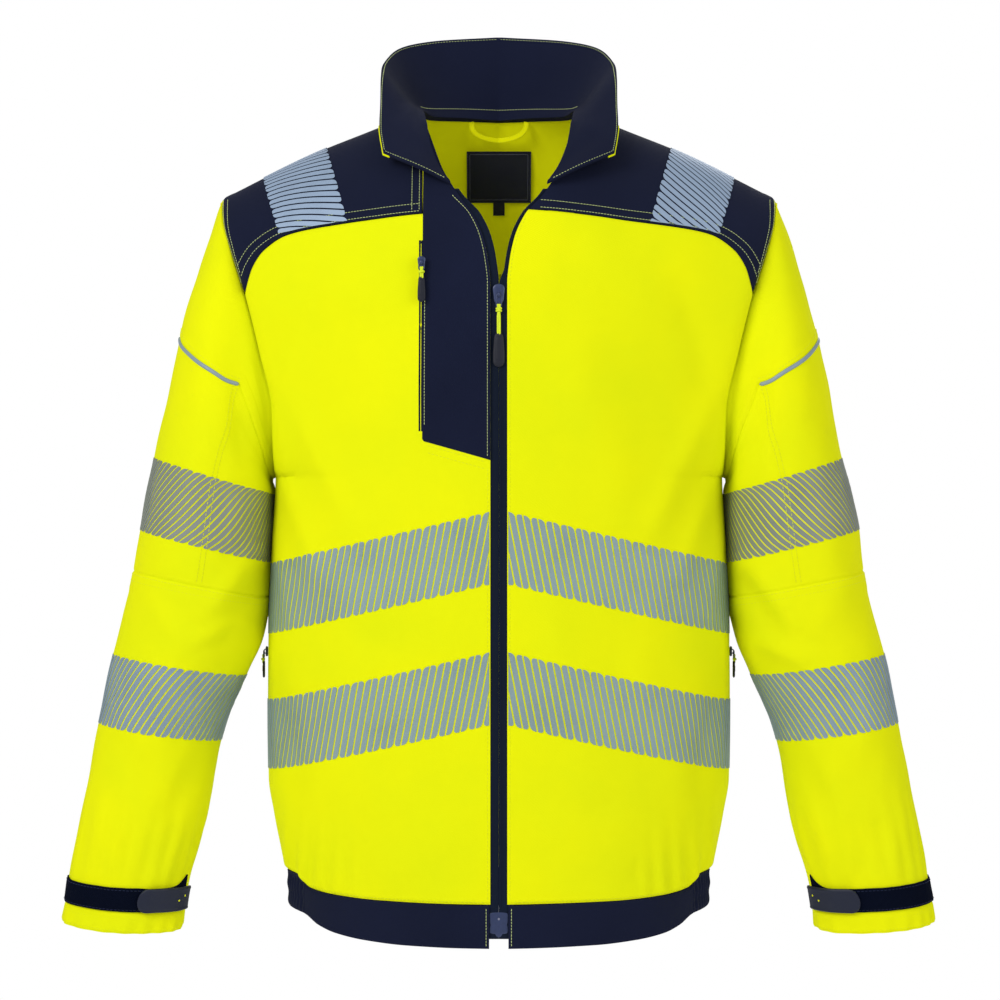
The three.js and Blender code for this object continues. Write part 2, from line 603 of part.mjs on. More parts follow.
// The two tapes part above the slider, where each follows its own front edge.
function zipTapes() {
  const parted = range(8).map((r) => lerp(SLIDER_HEIGHT, FRONT_COLLAR_END - 6, r));
  const grid = [10, ...parted].map((h) => [0, 0.5, 1].map((c) => {
    const opened = Math.max(0, neckEdge(h) - ZIP_SLOT);
    const p = front(lerp(ZIP_TAPE.from + opened, ZIP_TAPE.to + opened, c), h);
    p.y = h <= SLIDER_HEIGHT ? zipLine(h) : p.y + 0.6 * Math.min(1, opened / 8);
    return p;
  }));
  pair('zip_tape', shell(grid, { thickness: ZIP_TAPE.thickness, offset: -ZIP_TAPE.behind }), NAVY);
}

const ZIP_BOX = { foot: 9, top: 30 };
function retainerBox() {
  const y = zipLine(15);
  const block = box(-8 + SEAM, 8 - SEAM, y + 0.7, y + ZIP_TAPE.behind - 0.4, ZIP_BOX.foot, ZIP_BOX.top);
  add('zip_retainer_box', block, BLUE_METAL, 0.5);
}

// A slider's outer plate with an arched lug; the bail of the puller passes under the arch.
const LUG = { halfWidth: 1.3, pivot: 1.7, window: 1.3, wall: 1.1 };
function lug(y, h) {
  const arch = new THREE.Shape();
  const reach = LUG.window + LUG.wall;
  arch.moveTo(-reach, -0.5);
  arch.lineTo(reach, -0.5);
  arch.lineTo(reach, LUG.pivot + 1);
  arch.lineTo(1, LUG.pivot + reach);
  arch.lineTo(-1, LUG.pivot + reach);
  arch.lineTo(-reach, LUG.pivot + 1);
  const hole = new THREE.Path();
  hole.moveTo(-LUG.window, LUG.pivot - LUG.window);
  hole.lineTo(-LUG.window, LUG.pivot + LUG.window);
  hole.lineTo(LUG.window, LUG.pivot + LUG.window);
  hole.lineTo(LUG.window, LUG.pivot - LUG.window);
  arch.holes.push(hole);
  const solid = new THREE.ExtrudeGeometry(arch, { depth: 2 * LUG.halfWidth, bevelEnabled: false });
  solid.translate(0, 0, -LUG.halfWidth);
  solid.applyMatrix4(new THREE.Matrix4().makeBasis(
    new THREE.Vector3(0, 0, 1), new THREE.Vector3(0, -1, 0), new THREE.Vector3(1, 0, 0)));
  return solid.translate(0, y, h);
}

// A puller hanging from its pivot: a bail ring, a short cord and a moulded grip.
function puller({ bail = 11, cord = 20, grip = 29, gripHalf = 5.7, thick = 2.6 }) {
  const ring = new THREE.Shape();
  ring.moveTo(-3.2, 0.6);
  ring.lineTo(-3.2, -bail + 2);
  ring.lineTo(-1.6, -bail);
  ring.lineTo(1.6, -bail);
  ring.lineTo(3.2, -bail + 2);
  ring.lineTo(3.2, 0.6);
  const hole = new THREE.Path();
  hole.moveTo(-2, -0.6);
  hole.lineTo(2, -0.6);
  hole.lineTo(2, -bail + 3);
  hole.lineTo(-2, -bail + 3);
  ring.holes.push(hole);
  const bailSolid = new THREE.ExtrudeGeometry(ring, { depth: 1.2, bevelEnabled: false }).translate(0, 0, -0.6);
  const outline = new THREE.Shape();
  const bottom = -bail - cord - grip;
  const end = 4;
  outline.moveTo(-gripHalf * 0.7, -bail - cord);
  outline.lineTo(-gripHalf, bottom + end);
  outline.lineTo(-gripHalf * 0.6, bottom);
  outline.lineTo(gripHalf * 0.6, bottom);
  outline.lineTo(gripHalf, bottom + end);
  outline.lineTo(gripHalf * 0.7, -bail - cord);
  const gripSolid = new THREE.ExtrudeGeometry(outline, { depth: thick, bevelEnabled: false })
    .translate(0, 0, -thick / 2);
  const cordSolid = new THREE.BoxGeometry(3.4, cord + 4, 2).translate(0, -bail - cord / 2, 0);
  return join([bailSolid, cordSolid, gripSolid]).rotateX(Math.PI / 2);
}

function mainSlider() {
  const { halfWidth: w, plate, bridge } = SLIDER;
  const top = SLIDER_HEIGHT - 1;
  const low = top - SLIDER.length;
  const tapeFront = zipLine((top + low) / 2) + ZIP_TAPE.behind;
  const tapeBack = tapeFront + ZIP_TAPE.thickness;
  const face = tapeFront - SLIDER_GAP - plate;
  const lugHeight = low + 8;
  const body = join([
    box(-w, w, face, face + plate, low, top),
    box(-w, w, tapeBack + SLIDER_GAP, tapeBack + SLIDER_GAP + plate, low, top),
    box(-bridge, bridge, face + 0.5, tapeBack + SLIDER_GAP + 0.5, top - 7, top),
    lug(face, lugHeight),
  ]);
  add('main_slider', body, BLUE_METAL, 0.4, 0.6);
  const pull = puller({}).translate(0, face - LUG.pivot, lugHeight);
  add('main_puller', pull, RUBBER, 0.7);
}

// The chest pocket's zip lies in the seam at the navy panel's outer edge.
const CHEST_ZIP = { top: 572, bottom: 425 };
function chestZip() {
  const tape = range(8).map((r) => [-6, 0, 6].map((w) => front(CHEST_POCKET_X + w,
    lerp(CHEST_ZIP.bottom, CHEST_ZIP.top + 14, r))));
  add('chest_zip_tape', mirrored(shell(tape, { thickness: 0.8, offset: -SHELL - 1 })), NAVY);
  const low = CHEST_ZIP.top - 10;
  const y = front(CHEST_POCKET_X, low).y - 0.5;
  const x = -CHEST_POCKET_X;
  const plate = 1.8;
  const lugHeight = low + 5;
  const body = join([
    box(x - 3.6, x + 3.6, y - plate, y, low, CHEST_ZIP.top),
    lug(y - plate, lugHeight).translate(x, 0, 0),
  ]);
  add('chest_slider', body, BLUE_METAL, 0.4, 0.6);
  const pull = puller({ bail: 7, cord: 4, grip: 22, gripHalf: 3.9, thick: 2.2 });
  add('chest_puller', pull.translate(x, y - plate - LUG.pivot, lugHeight), RUBBER, 0.7);
}

// Hand pockets open along the side seams; their sliders face outwards.
const POCKET_ZIP = { top: 262, bottom: 140, sliderTop: 243 };
function handPockets() {
  const edge = halfWidth(200);
  const tape = box(edge - SHELL - 2.2, edge - SHELL - 1.3, -4, 4, POCKET_ZIP.bottom, POCKET_ZIP.top);
  pair('pocket_zip_tape', tape, NAVY);
  const bag = range(4).map((r) => range(4).map((c) => front(lerp(92, 186, c), lerp(64, 232, r))));
  pair('pocket_bag', shell(bag, { thickness: LINING, offset: -SHELL - LAYER }), 0xc8cdd4);
  const low = POCKET_ZIP.sliderTop - 9;
  const plate = 1.8;
  const face = edge + 0.5;
  const lugHeight = low + 4.5;
  const turn = new THREE.Matrix4().makeRotationZ(Math.PI / 2);
  const body = join([
    box(-3.4, 3.4, -face - plate, -face, low, POCKET_ZIP.sliderTop),
    lug(-face - plate, lugHeight),
  ]).applyMatrix4(turn);
  pair('pocket_slider', body, BLUE_METAL, 0.4, 0.6);
  const pull = puller({ bail: 6, cord: 2, grip: 15, gripHalf: 4.2, thick: 2 })
    .translate(0, -face - plate - LUG.pivot, lugHeight).applyMatrix4(turn);
  pair('pocket_puller', pull, RUBBER, 0.7);
}

frontPanels();
frontYokes();
chestPocket();
backPanels();
backFacing();
frontFacings();
hem();
sleeves();
cuffs();
bodyTapes();
shoulderTapes();
collar();
neckLabel();
hangerLoop();
zipTapes();
retainerBox();
mainSlider();
chestZip();
handPockets();

// The frame's origin is the top of the hanger loop, at the centre-back neck seam.
garment.position.set(0, -loopY(0), -BACK_LENGTH);

export default jacket;
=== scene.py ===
"""The looks of a zip-fronted high-visibility work jacket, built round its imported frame.

Lengths are in millimetres in the garment's own frame until a mesh is made: x to the wearer's left,
y towards the back from the side seams, h up from the front hem.
"""
import math

import bmesh
import bpy
import numpy as np
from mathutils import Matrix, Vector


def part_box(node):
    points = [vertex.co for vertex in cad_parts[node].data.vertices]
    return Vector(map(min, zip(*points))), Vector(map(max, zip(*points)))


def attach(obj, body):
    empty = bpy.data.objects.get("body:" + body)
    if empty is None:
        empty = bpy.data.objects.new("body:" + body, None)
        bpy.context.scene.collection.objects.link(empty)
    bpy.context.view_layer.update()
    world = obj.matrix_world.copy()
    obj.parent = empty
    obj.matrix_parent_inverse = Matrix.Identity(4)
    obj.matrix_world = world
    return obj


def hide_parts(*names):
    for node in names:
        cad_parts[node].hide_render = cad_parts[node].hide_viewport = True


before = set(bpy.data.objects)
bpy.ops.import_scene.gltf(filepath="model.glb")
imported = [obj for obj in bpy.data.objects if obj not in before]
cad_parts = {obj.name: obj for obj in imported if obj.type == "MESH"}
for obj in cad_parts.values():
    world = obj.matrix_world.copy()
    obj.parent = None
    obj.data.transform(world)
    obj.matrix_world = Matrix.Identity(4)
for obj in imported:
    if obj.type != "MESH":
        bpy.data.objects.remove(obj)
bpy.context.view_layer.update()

# ---- Camera, light and floor ------------------------------------------------
# A plain pale studio. The camera stands 2.5 m in front of the side seams at chest-pocket
# height, and a broad light from each side keeps the fluorescent cloth even.
BACK_LENGTH = 712.0
seam_low, seam_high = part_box("left_pocket_zip_tape")
SIDE_SEAM_Y = (seam_low.y + seam_high.y) * 500
CAMERA_HEIGHT = 370.0
CAMERA_DISTANCE = 2500.0
FIELD_OF_VIEW = 2 * math.atan(435 / 2500)


def in_row(points):
    """Garment millimetres to the row's metres: y moves by the side seam's place, h by the back length."""
    return (np.asarray(points, float) + [0, SIDE_SEAM_Y, -BACK_LENGTH]) * 0.001


def area_light(name, place, target, size, power):
    """A square light at `place`, turned so that its face looks at `target`, both in row metres."""
    data = bpy.data.lights.new(name, "AREA")
    data.energy = power
    data.size = size
    lamp = bpy.data.objects.new(name, data)
    bpy.context.collection.objects.link(lamp)
    lamp.location = place
    aim = bpy.data.objects.new(name + "_aim", None)
    aim.location = target
    bpy.context.collection.objects.link(aim)
    track = lamp.constraints.new("TRACK_TO")
    track.target = aim
    track.track_axis = "TRACK_NEGATIVE_Z"
    track.up_axis = "UP_Y"


camera_data = bpy.data.cameras.new("camera")
camera_data.angle = FIELD_OF_VIEW
camera = bpy.data.objects.new("camera", camera_data)
camera.location = in_row([1, -CAMERA_DISTANCE, CAMERA_HEIGHT])
camera.rotation_euler = (math.pi / 2, 0, 0)
bpy.context.collection.objects.link(camera)
bpy.context.scene.camera = camera

area_light("key_light", (-1.5, -2.0, 0.9), (0, 0, -0.3), 1.2, 34)
area_light("fill_light", (1.9, -1.9, 0.3), (0, 0, -0.35), 1.4, 16)
area_light("back_light", (0.3, 2.2, 0.9), (0, 0, -0.3), 1.8, 30)

world = bpy.data.worlds.new("studio")
world.use_nodes = True
bpy.context.scene.world = world
nodes, links = world.node_tree.nodes, world.node_tree.links
seen = nodes.new("ShaderNodeLightPath")
white = nodes.new("ShaderNodeBackground")
white.inputs["Color"].default_value = (1, 1, 1, 1)
room = nodes.new("ShaderNodeBackground")
room.inputs["Color"].default_value = (1, 1, 1, 1)
room.inputs["Strength"].default_value = 0.47
choose = nodes.new("ShaderNodeMixShader")
links.new(seen.outputs["Is Camera Ray"], choose.inputs["Fac"])
links.new(room.outputs[0], choose.inputs[1])
links.new(white.outputs[0], choose.inputs[2])
links.new(choose.outputs[0], nodes["World Output"].inputs["Surface"])
bpy.context.scene.view_settings.view_transform = "Standard"

floor_mesh = bpy.data.meshes.new("floor")
floor_mesh.from_pydata([(-2, -2, -1.25), (2, -2, -1.25), (2, 2, -1.25), (-2, 2, -1.25)], [], [(0, 1, 2, 3)])
floor = bpy.data.objects.new("floor", floor_mesh)
bpy.context.collection.objects.link(floor)
pale = bpy.data.materials.new("pale_floor")
pale.use_nodes = True
pale.node_tree.nodes["Principled BSDF"].inputs["Base Color"].default_value = (0.9, 0.9, 0.9, 1)
floor_mesh.materials.append(pale)

# ---- Front panels -----------------------------------------------------------
# Two fluorescent yellow twill panels, from the hem band to the yoke, cut square at the zip and
# curved at the armhole. The cloth hangs in soft folds from the armholes and puckers at the hem.
CLOTH = 1.3
SEAM = 0.35


def smooth_curve(points):
    """y(x) through a few points: a cubic on each stretch whose end slopes are the harmonic mean of
    the slopes on either side, so that it never overshoots; straight on past both ends."""
    px, py = np.array(points, float).T
    rise = np.diff(py) / np.diff(px)
    slope = np.zeros(len(px))
    slope[0], slope[-1] = rise[0], rise[-1]
    same = rise[:-1] * rise[1:] > 0
    total = np.where(same, rise[:-1] + rise[1:], 1)
    slope[1:-1] = np.where(same, 2 * rise[:-1] * rise[1:] / total, 0)

    def value(x):
        x = np.asarray(x, float)
        i = np.clip(np.searchsorted(px, x) - 1, 0, len(px) - 2)
        width = px[i + 1] - px[i]
        t = (x - px[i]) / width
        s = np.clip(t, 0, 1)
        cubic = ((2 * s**3 - 3 * s**2 + 1) * py[i] + (s**3 - 2 * s**2 + s) * width * slope[i]
                 + (3 * s**2 - 2 * s**3) * py[i + 1] + (s**3 - s**2) * width * slope[i + 1])
        return cubic + (t - s) * width * np.where(t < 0, slope[0], slope[-1])

    return value


UNDERARM, SHOULDER_TIP = 391.0, 632.0
NECK_X, NECK_H = 70.5, 706.9
half_width = smooth_curve([
    (0, 181), (36, 183), (70, 189), (101, 195), (130, 199.6), (200, 200.4), (270, 199.6), (330, 197),
    (UNDERARM, 193.5), (445, 193), (494, 203), (551, 217.5), (583, 228), (606, 235), (SHOULDER_TIP, 239)])
shoulder = smooth_curve([(0, 735), (NECK_X, NECK_H), (110, 691), (160, 671), (239, SHOULDER_TIP)])
neck_edge = smooth_curve([
    (0, 7), (550, 7), (569, 9), (588, 13), (608, 22), (625, 37), (634, 43),
    (646, 51), (675, 62), (698, 69), (NECK_H, NECK_X)])
yoke_seam = smooth_curve([
    (30, 612), (70, 609), (127, 603), (160, 599), (184, 594), (203, 582), (213, 568), (219.5, 549)])


def mix(a, b, t):
    """a at t = 0, b at t = 1, straight between."""
    return a + (b - a) * t


hem_curve = smooth_curve([(0, 0), (80, 1.2), (112, 3.4), (138, 7.4), (152, 12.5), (164, 20), (183, 22.5)])
band_curve = smooth_curve([(0, 36), (100, 37), (138, 39), (160, 42.5), (165, 46), (170, 52), (183, 54)])


def hem_line(x):
    """Height of the hem: level over the front, and drawn up by the elastic towards the side seam."""
    return hem_curve(np.abs(x))


def hem_top(x):
    """Height of the band's upper edge, which steps up 8 mm where the elastic begins."""
    return band_curve(np.abs(x))


def depth(x, h, back):
    """Distance of the body from the side seam plane: (1 - s^2)^0.425 across, with s the share of the
    half width, tapering straight with height, and above the underarm closing over the shoulder as a
    superellipse, with an armhole half as deep as the chest at its edge (s = 1)."""
    s = np.minimum(1, np.abs(x) / half_width(h))
    across = (1 - s * s) ** 0.425
    hem, chest, roundness = (118, 120, 2.6) if back else (132, 123.5, 1.9)
    below = mix(hem, chest, np.minimum(h, UNDERARM) / UNDERARM) * across
    rise = np.clip((h - UNDERARM) / (SHOULDER_TIP - UNDERARM) / 0.4, 0, 1)
    armhole = 0.5 * np.sqrt(1 - (1 - rise) ** 2) * s**5
    t = np.clip((h - UNDERARM) / (shoulder(np.abs(x)) - UNDERARM), 0, 1)
    u = np.clip((t - 0.46) / 0.54, 0, 1)
    closing = np.where(t < 0.46, mix(1, 0.9717, t / 0.46), 0.9717 * (1 - u**roundness) ** (1 / roundness))
    above = chest * (across + armhole * (1 - across)) * closing
    return np.where(h <= UNDERARM, below, above)


def bare(x, h, back):
    """The body's plain surface at (x, h), on the front or the back, without folds."""
    sign = 1 if back else -1
    return np.stack([x, sign * (depth(x, h, back) + SEAM), h], -1)


def fold(x, h, start, end, width, height):
    """A soft ridge from start to end: a Gaussian of the distance from that line, fading in and out
    along it as the square root of a sine."""
    ax, ay = start
    bx, by = end
    length = math.hypot(bx - ax, by - ay)
    dx, dy = (bx - ax) / length, (by - ay) / length
    t = np.clip(((x - ax) * dx + (h - ay) * dy) / length, 0, 1)
    off = (x - ax) * dy - (h - ay) * dx
    return height * np.sqrt(np.sin(np.pi * t)) * np.exp(-((off / width) ** 2))


def drift(a, b, scale, seed):
    """Slow unevenness between -1 and 1: four sines of random direction and phase, averaged."""
    rng = np.random.default_rng(seed)
    total = 0
    for _ in range(4):
        turn, phase = rng.uniform(0, 2 * np.pi, 2)
        stretch = rng.uniform(0.7, 1.5)
        total = total + np.sin((a * np.cos(turn) + b * np.sin(turn)) * 2 * np.pi / (scale * stretch) + phase)
    return total / 4


FRONT_FOLDS = [
    # start, end, width, height of each fold, for the wearer's left
    ((188, 470), (120, 330), 11, 2.6), ((196, 430), (150, 300), 9, 2.2), ((200, 400), (176, 270), 8, 2.0),
    ((60, 520), (110, 330), 22, 1.6), ((30, 300), (90, 120), 24, 1.8), ((150, 560), (190, 430), 12, -1.8),
    ((110, 250), (180, 60), 16, 1.8), ((20, 110), (110, 60), 18, 1.4), ((195, 250), (165, 110), 10, -1.8),
    ((70, 590), (150, 520), 16, 1.2),
]
BACK_FOLDS = [
    ((190, 480), (90, 420), 14, 2.6), ((185, 430), (110, 330), 14, 2.4), ((60, 560), (70, 330), 22, 1.8),
    ((20, 330), (120, 170), 24, 2.0), ((130, 300), (170, 80), 18, 2.2), ((10, 150), (80, 50), 20, 1.6),
    ((150, 570), (185, 450), 12, -1.6),
]


def body_folds(x, h, back):
    """Folds, hem puckers and slow unevenness of the hanging cloth, in millimetres outwards."""
    total = 0
    for i, (start, end, width, height) in enumerate(BACK_FOLDS if back else FRONT_FOLDS):
        shift = 11 * math.sin(5.1 * i + 1)
        right_start, right_end = (-start[0], start[1] + shift), (-end[0], end[1] + shift)
        total = total + fold(x, h, start, end, width, height)
        total = total + fold(x, h, right_start, right_end, width, 0.9 * height)
    side = np.clip((np.abs(x) - 105) / 60, 0, 1)
    pucker = np.exp(-((h - 50) / 34) ** 2) * side * np.clip((h - hem_top(x)) / 4, 0, 1)
    total = total + pucker * (1.9 * np.sin(np.abs(x) * 2 * np.pi / 15 + 0.02 * h) + 0.8)
    total = 1.25 * total + 1.5 * drift(x, h * 0.6, 120, 11 if back else 3) + 0.5 * drift(x, h * 0.7, 42, 23)
    under_shoulder = np.clip((626 - h) / 60, 0, 1) if back else np.clip((shoulder(np.abs(x)) - h) / 40, 0, 1)
    beside_zip = 1.0 if back else np.clip((np.abs(x) - 6) / 40, 0.1, 1)
    near_edge = np.clip((half_width(h) - np.abs(x)) / 12, 0, 1) ** 0.7
    return total * under_shoulder * beside_zip * near_edge


def body(x, h, back=False, lift=0.0):
    """A point of the folded cloth: the plain surface moved along its normal, which comes from
    differences over one millimetre, by the folds and by `lift`."""
    x, h = np.broadcast_arrays(np.asarray(x, float), np.asarray(h, float))
    step = 0.5
    across = bare(x + step, h, back) - bare(x - step, h, back)
    up = bare(x, h + step, back) - bare(x, h - step, back)
    normal = np.cross(across, up) * (-1 if back else 1)
    normal /= np.linalg.norm(normal, axis=-1, keepdims=True)
    out = body_folds(x, h, back) + lift
    return bare(x, h, back) + normal * out[..., None]


def make_object(name, verts, faces, uv, material):
    """A mesh object at the origin from garment-millimetre points and quads, with one UV map in metres.
    Its edges sharper than 50 degrees stay sharp."""
    mesh = bpy.data.meshes.new(name)
    mesh.vertices.add(len(verts))
    mesh.vertices.foreach_set("co", in_row(verts).astype(np.float32).ravel())
    mesh.loops.add(faces.size)
    mesh.loops.foreach_set("vertex_index", faces.astype(np.int32).ravel())
    mesh.polygons.add(len(faces))
    mesh.polygons.foreach_set("loop_start", np.arange(0, faces.size, faces.shape[1], dtype=np.int32))
    layer = mesh.uv_layers.new(name="cloth")
    layer.data.foreach_set("uv", uv[faces.ravel()].astype(np.float32).ravel())
    mesh.update(calc_edges=True)
    mesh.validate()
    mesh.shade_smooth()
    mesh.set_sharp_from_angle(angle=math.radians(50))
    piece = bpy.data.objects.new(name, mesh)
    bpy.context.collection.objects.link(piece)
    mesh.materials.append(material)
    return piece


def steps(grid, axis):
    """Running length along one axis of a grid of points, averaged over the other, in millimetres."""
    size = np.linalg.norm(np.diff(grid, axis=axis), axis=-1).mean(axis=1 - axis)
    return np.concatenate([[0], np.cumsum(size)])


def sheet_faces(rows, cols, flip, wrap):
    """Quads of a shell of two grids: the outer, the inner turned round, and the rim between them."""
    index = np.arange(rows * cols).reshape(rows, cols)
    right = np.roll(index, -1, axis=1) if wrap else index[:, 1:]
    left = index if wrap else index[:, :-1]
    outer = np.stack([left[:-1], right[:-1], right[1:], left[1:]], -1).reshape(-1, 4)
    under = rows * cols
    inner = outer[:, ::-1] + under
    low = np.stack([right[0], left[0], left[0] + under, right[0] + under], -1)
    high = np.stack([left[-1], right[-1], right[-1] + under, left[-1] + under], -1)
    rims = [low, high]
    if not wrap:
        first, last = index[:, 0], index[:, -1]
        rims.append(np.stack([first[:-1], first[1:], first[1:] + under, first[:-1] + under], -1))
        rims.append(np.stack([last[1:], last[:-1], last[:-1] + under, last[1:] + under], -1))
    faces = np.concatenate([outer, inner, *rims])
    return faces[:, ::-1] if flip else faces


def cloth(name, outer, inner, material, flip=False, wrap=False, nodes=(), sheet=True):
    """One cut piece of cloth as a closed shell between two grids, riding on the garment. Its flat
    size is measured on the outer grid: the mean length of its rows and of its columns, neither under
    11 mm, with the width raised until the grid's area is at most 98 percent of their product."""
    rows, cols = outer.shape[:2]
    v, u = steps(outer, 0), steps(outer, 1)
    uv = np.stack(np.meshgrid(u, v), -1).reshape(-1, 2) * 0.001
    verts = np.concatenate([outer.reshape(-1, 3), inner.reshape(-1, 3)])
    faces = sheet_faces(rows, cols, flip, wrap)
    piece = make_object(name, verts, faces, np.concatenate([uv, uv]), material)
    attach(piece, "garment")
    if nodes:
        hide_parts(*nodes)
    if sheet:
        a, b = np.diff(outer, axis=0)[:, :-1], np.diff(outer, axis=1)[:-1]
        area = np.linalg.norm(np.cross(a, b), axis=-1).sum() * 1e-6
        width, length = max(u[-1], 11) * 0.001, max(v[-1], 11) * 0.001
        width *= max(1.0, area / (width * length) * 1.02)
    return piece


def shares(length, spacing, fine=(0.6, 1.4, 2.4, 4.0, 6.0, 7.6, 8.8)):
    """Shares from 0 to 1 at an even spacing, with closer ones inside both ends for rolled edges."""
    even = np.linspace(0, 1, max(3, int(length / spacing)))
    ends = np.array(fine) / length
    edge = ends[-1] + 0.5 * spacing / length
    middle = even[(even > edge) & (even < 1 - edge)]
    return np.concatenate([[0], ends, middle, 1 - ends[::-1], [1]])


def patch(inner, outer, bottom, top, cols, rows):
    """(x, h) of a four-sided cut piece: inner and outer edges are x(h), bottom and top are h(x);
    its inside is a blend of the four, linear in the shares of the columns and rows."""
    def corner(side, edge):
        x = side(edge(70.0))
        for _ in range(14):
            x = side(edge(x))
        return float(x)

    low = corner(inner, bottom), corner(outer, bottom)
    high = corner(inner, top), corner(outer, top)
    c, r = np.meshgrid(cols, rows)
    h = mix(bottom(mix(*low, c)), top(mix(*high, c)), r)
    h_inner = mix(bottom(low[0]), top(high[0]), r)
    h_outer = mix(bottom(low[1]), top(high[1]), r)
    return mix(inner(h_inner), outer(h_outer), c), h


def roll(grid, dips, ridges=(), width=9.0, height=0.5):
    """How sewn edges lie: each side of the grid in `dips` sinks 0.9 mm into its seam within 2 mm, and
    each in `ridges` carries the folded allowance, a flat step `width` wide. Distances from a side
    run along the surface."""
    across = np.cumsum(np.linalg.norm(np.diff(grid, axis=1), axis=-1), axis=1)
    up = np.cumsum(np.linalg.norm(np.diff(grid, axis=0), axis=-1), axis=0)
    left = np.pad(across, ((0, 0), (1, 0)))
    low = np.pad(up, ((1, 0), (0, 0)))
    sides = {"left": left, "right": left[:, -1:] - left, "low": low, "high": low[-1:] - low}
    lift = np.zeros(grid.shape[:2])
    for side in dips:
        lift -= 0.9 * np.exp(-((sides[side] / 1.4) ** 2))
    for side in ridges:
        lift += height / (1 + np.exp(np.clip((sides[side] - width) / 0.4, -40, 40)))
    return lift


def cloth_material(name, color, second, roughness=0.92, specular=0.12, sheen=0.05, weave=1250.0):
    """Twill: a diagonal wave texture across the UV map for the weave's ribs, broken up by noise,
    as bump; and a slow noise between two shades of the dye for its colour."""
    material = bpy.data.materials.new(name)
    material.use_nodes = True
    nodes, links = material.node_tree.nodes, material.node_tree.links
    shader = nodes["Principled BSDF"]
    shader.inputs["Roughness"].default_value = roughness
    shader.inputs["Specular IOR Level"].default_value = specular
    shader.inputs["Sheen Weight"].default_value = sheen
    shader.inputs["Sheen Roughness"].default_value = 0.6
    place = nodes.new("ShaderNodeTexCoord")
    slow = nodes.new("ShaderNodeTexNoise")
    slow.inputs["Scale"].default_value = 9.0
    slow.inputs["Detail"].default_value = 5.0
    ramp = nodes.new("ShaderNodeValToRGB")
    ramp.color_ramp.elements[0].position = 0.3
    ramp.color_ramp.elements[0].color = (*second, 1)
    ramp.color_ramp.elements[1].position = 0.62
    ramp.color_ramp.elements[1].color = (*color, 1)
    links.new(place.outputs["Object"], slow.inputs["Vector"])
    links.new(slow.outputs["Fac"], ramp.inputs["Fac"])
    links.new(ramp.outputs["Color"], shader.inputs["Base Color"])
    ribs = nodes.new("ShaderNodeTexWave")
    ribs.bands_direction = "DIAGONAL"
    ribs.inputs["Scale"].default_value = weave / 2.25
    ribs.inputs["Distortion"].default_value = 1.6
    ribs.inputs["Detail"].default_value = 2.0
    fine = nodes.new("ShaderNodeTexNoise")
    fine.inputs["Scale"].default_value = 900.0
    fine.inputs["Detail"].default_value = 3.0
    both = nodes.new("ShaderNodeMath")
    both.operation = "ADD"
    bump = nodes.new("ShaderNodeBump")
    bump.inputs["Strength"].default_value = 0.35
    bump.inputs["Distance"].default_value = 0.0004
    links.new(place.outputs["UV"], ribs.inputs["Vector"])
    links.new(place.outputs["UV"], fine.inputs["Vector"])
    links.new(ribs.outputs["Fac"], both.inputs[0])
    links.new(fine.outputs["Fac"], both.inputs[1])
    links.new(both.outputs["Value"], bump.inputs["Height"])
    links.new(bump.outputs["Normal"], shader.inputs["Normal"])
    return material


yellow_twill = cloth_material("yellow_twill", (0.90, 0.93, 0.003), (0.83, 0.90, 0.004), specular=0.05)
yellow_twill.node_tree.nodes["Principled BSDF"].inputs["Sheen Weight"].default_value = 0.0


def front_panel_cut():
    """Columns gather towards the side seam, where the body turns: sin of an even angle."""
    cols = np.sin(shares(210, 2.6) * np.pi / 2)
    rows = shares(570, 3.2)
    return patch(neck_edge, half_width, lambda x: hem_top(x) + SEAM,
                 lambda x: yoke_seam(x) - SEAM, cols, rows)


cut_x, cut_h = front_panel_cut()
for side, turn in (("left", 1), ("right", -1)):
    lift = roll(bare(cut_x, cut_h, False), ("right", "low", "high"))
    outer = body(turn * cut_x, cut_h, False, lift)
    inner = body(turn * cut_x, cut_h, False, lift - CLOTH)
    cloth(f"{side}_front_cloth", outer, inner, yellow_twill, flip=turn < 0,
          nodes=[f"{side}_front_panel"])


def thread_line(x, h, back=False, lift=0.0):
    """Points and outward normals of a stitched line on the body."""
    low, high = body(x, h, back, lift), body(x, h, back, lift + 1)
    return low, high - low


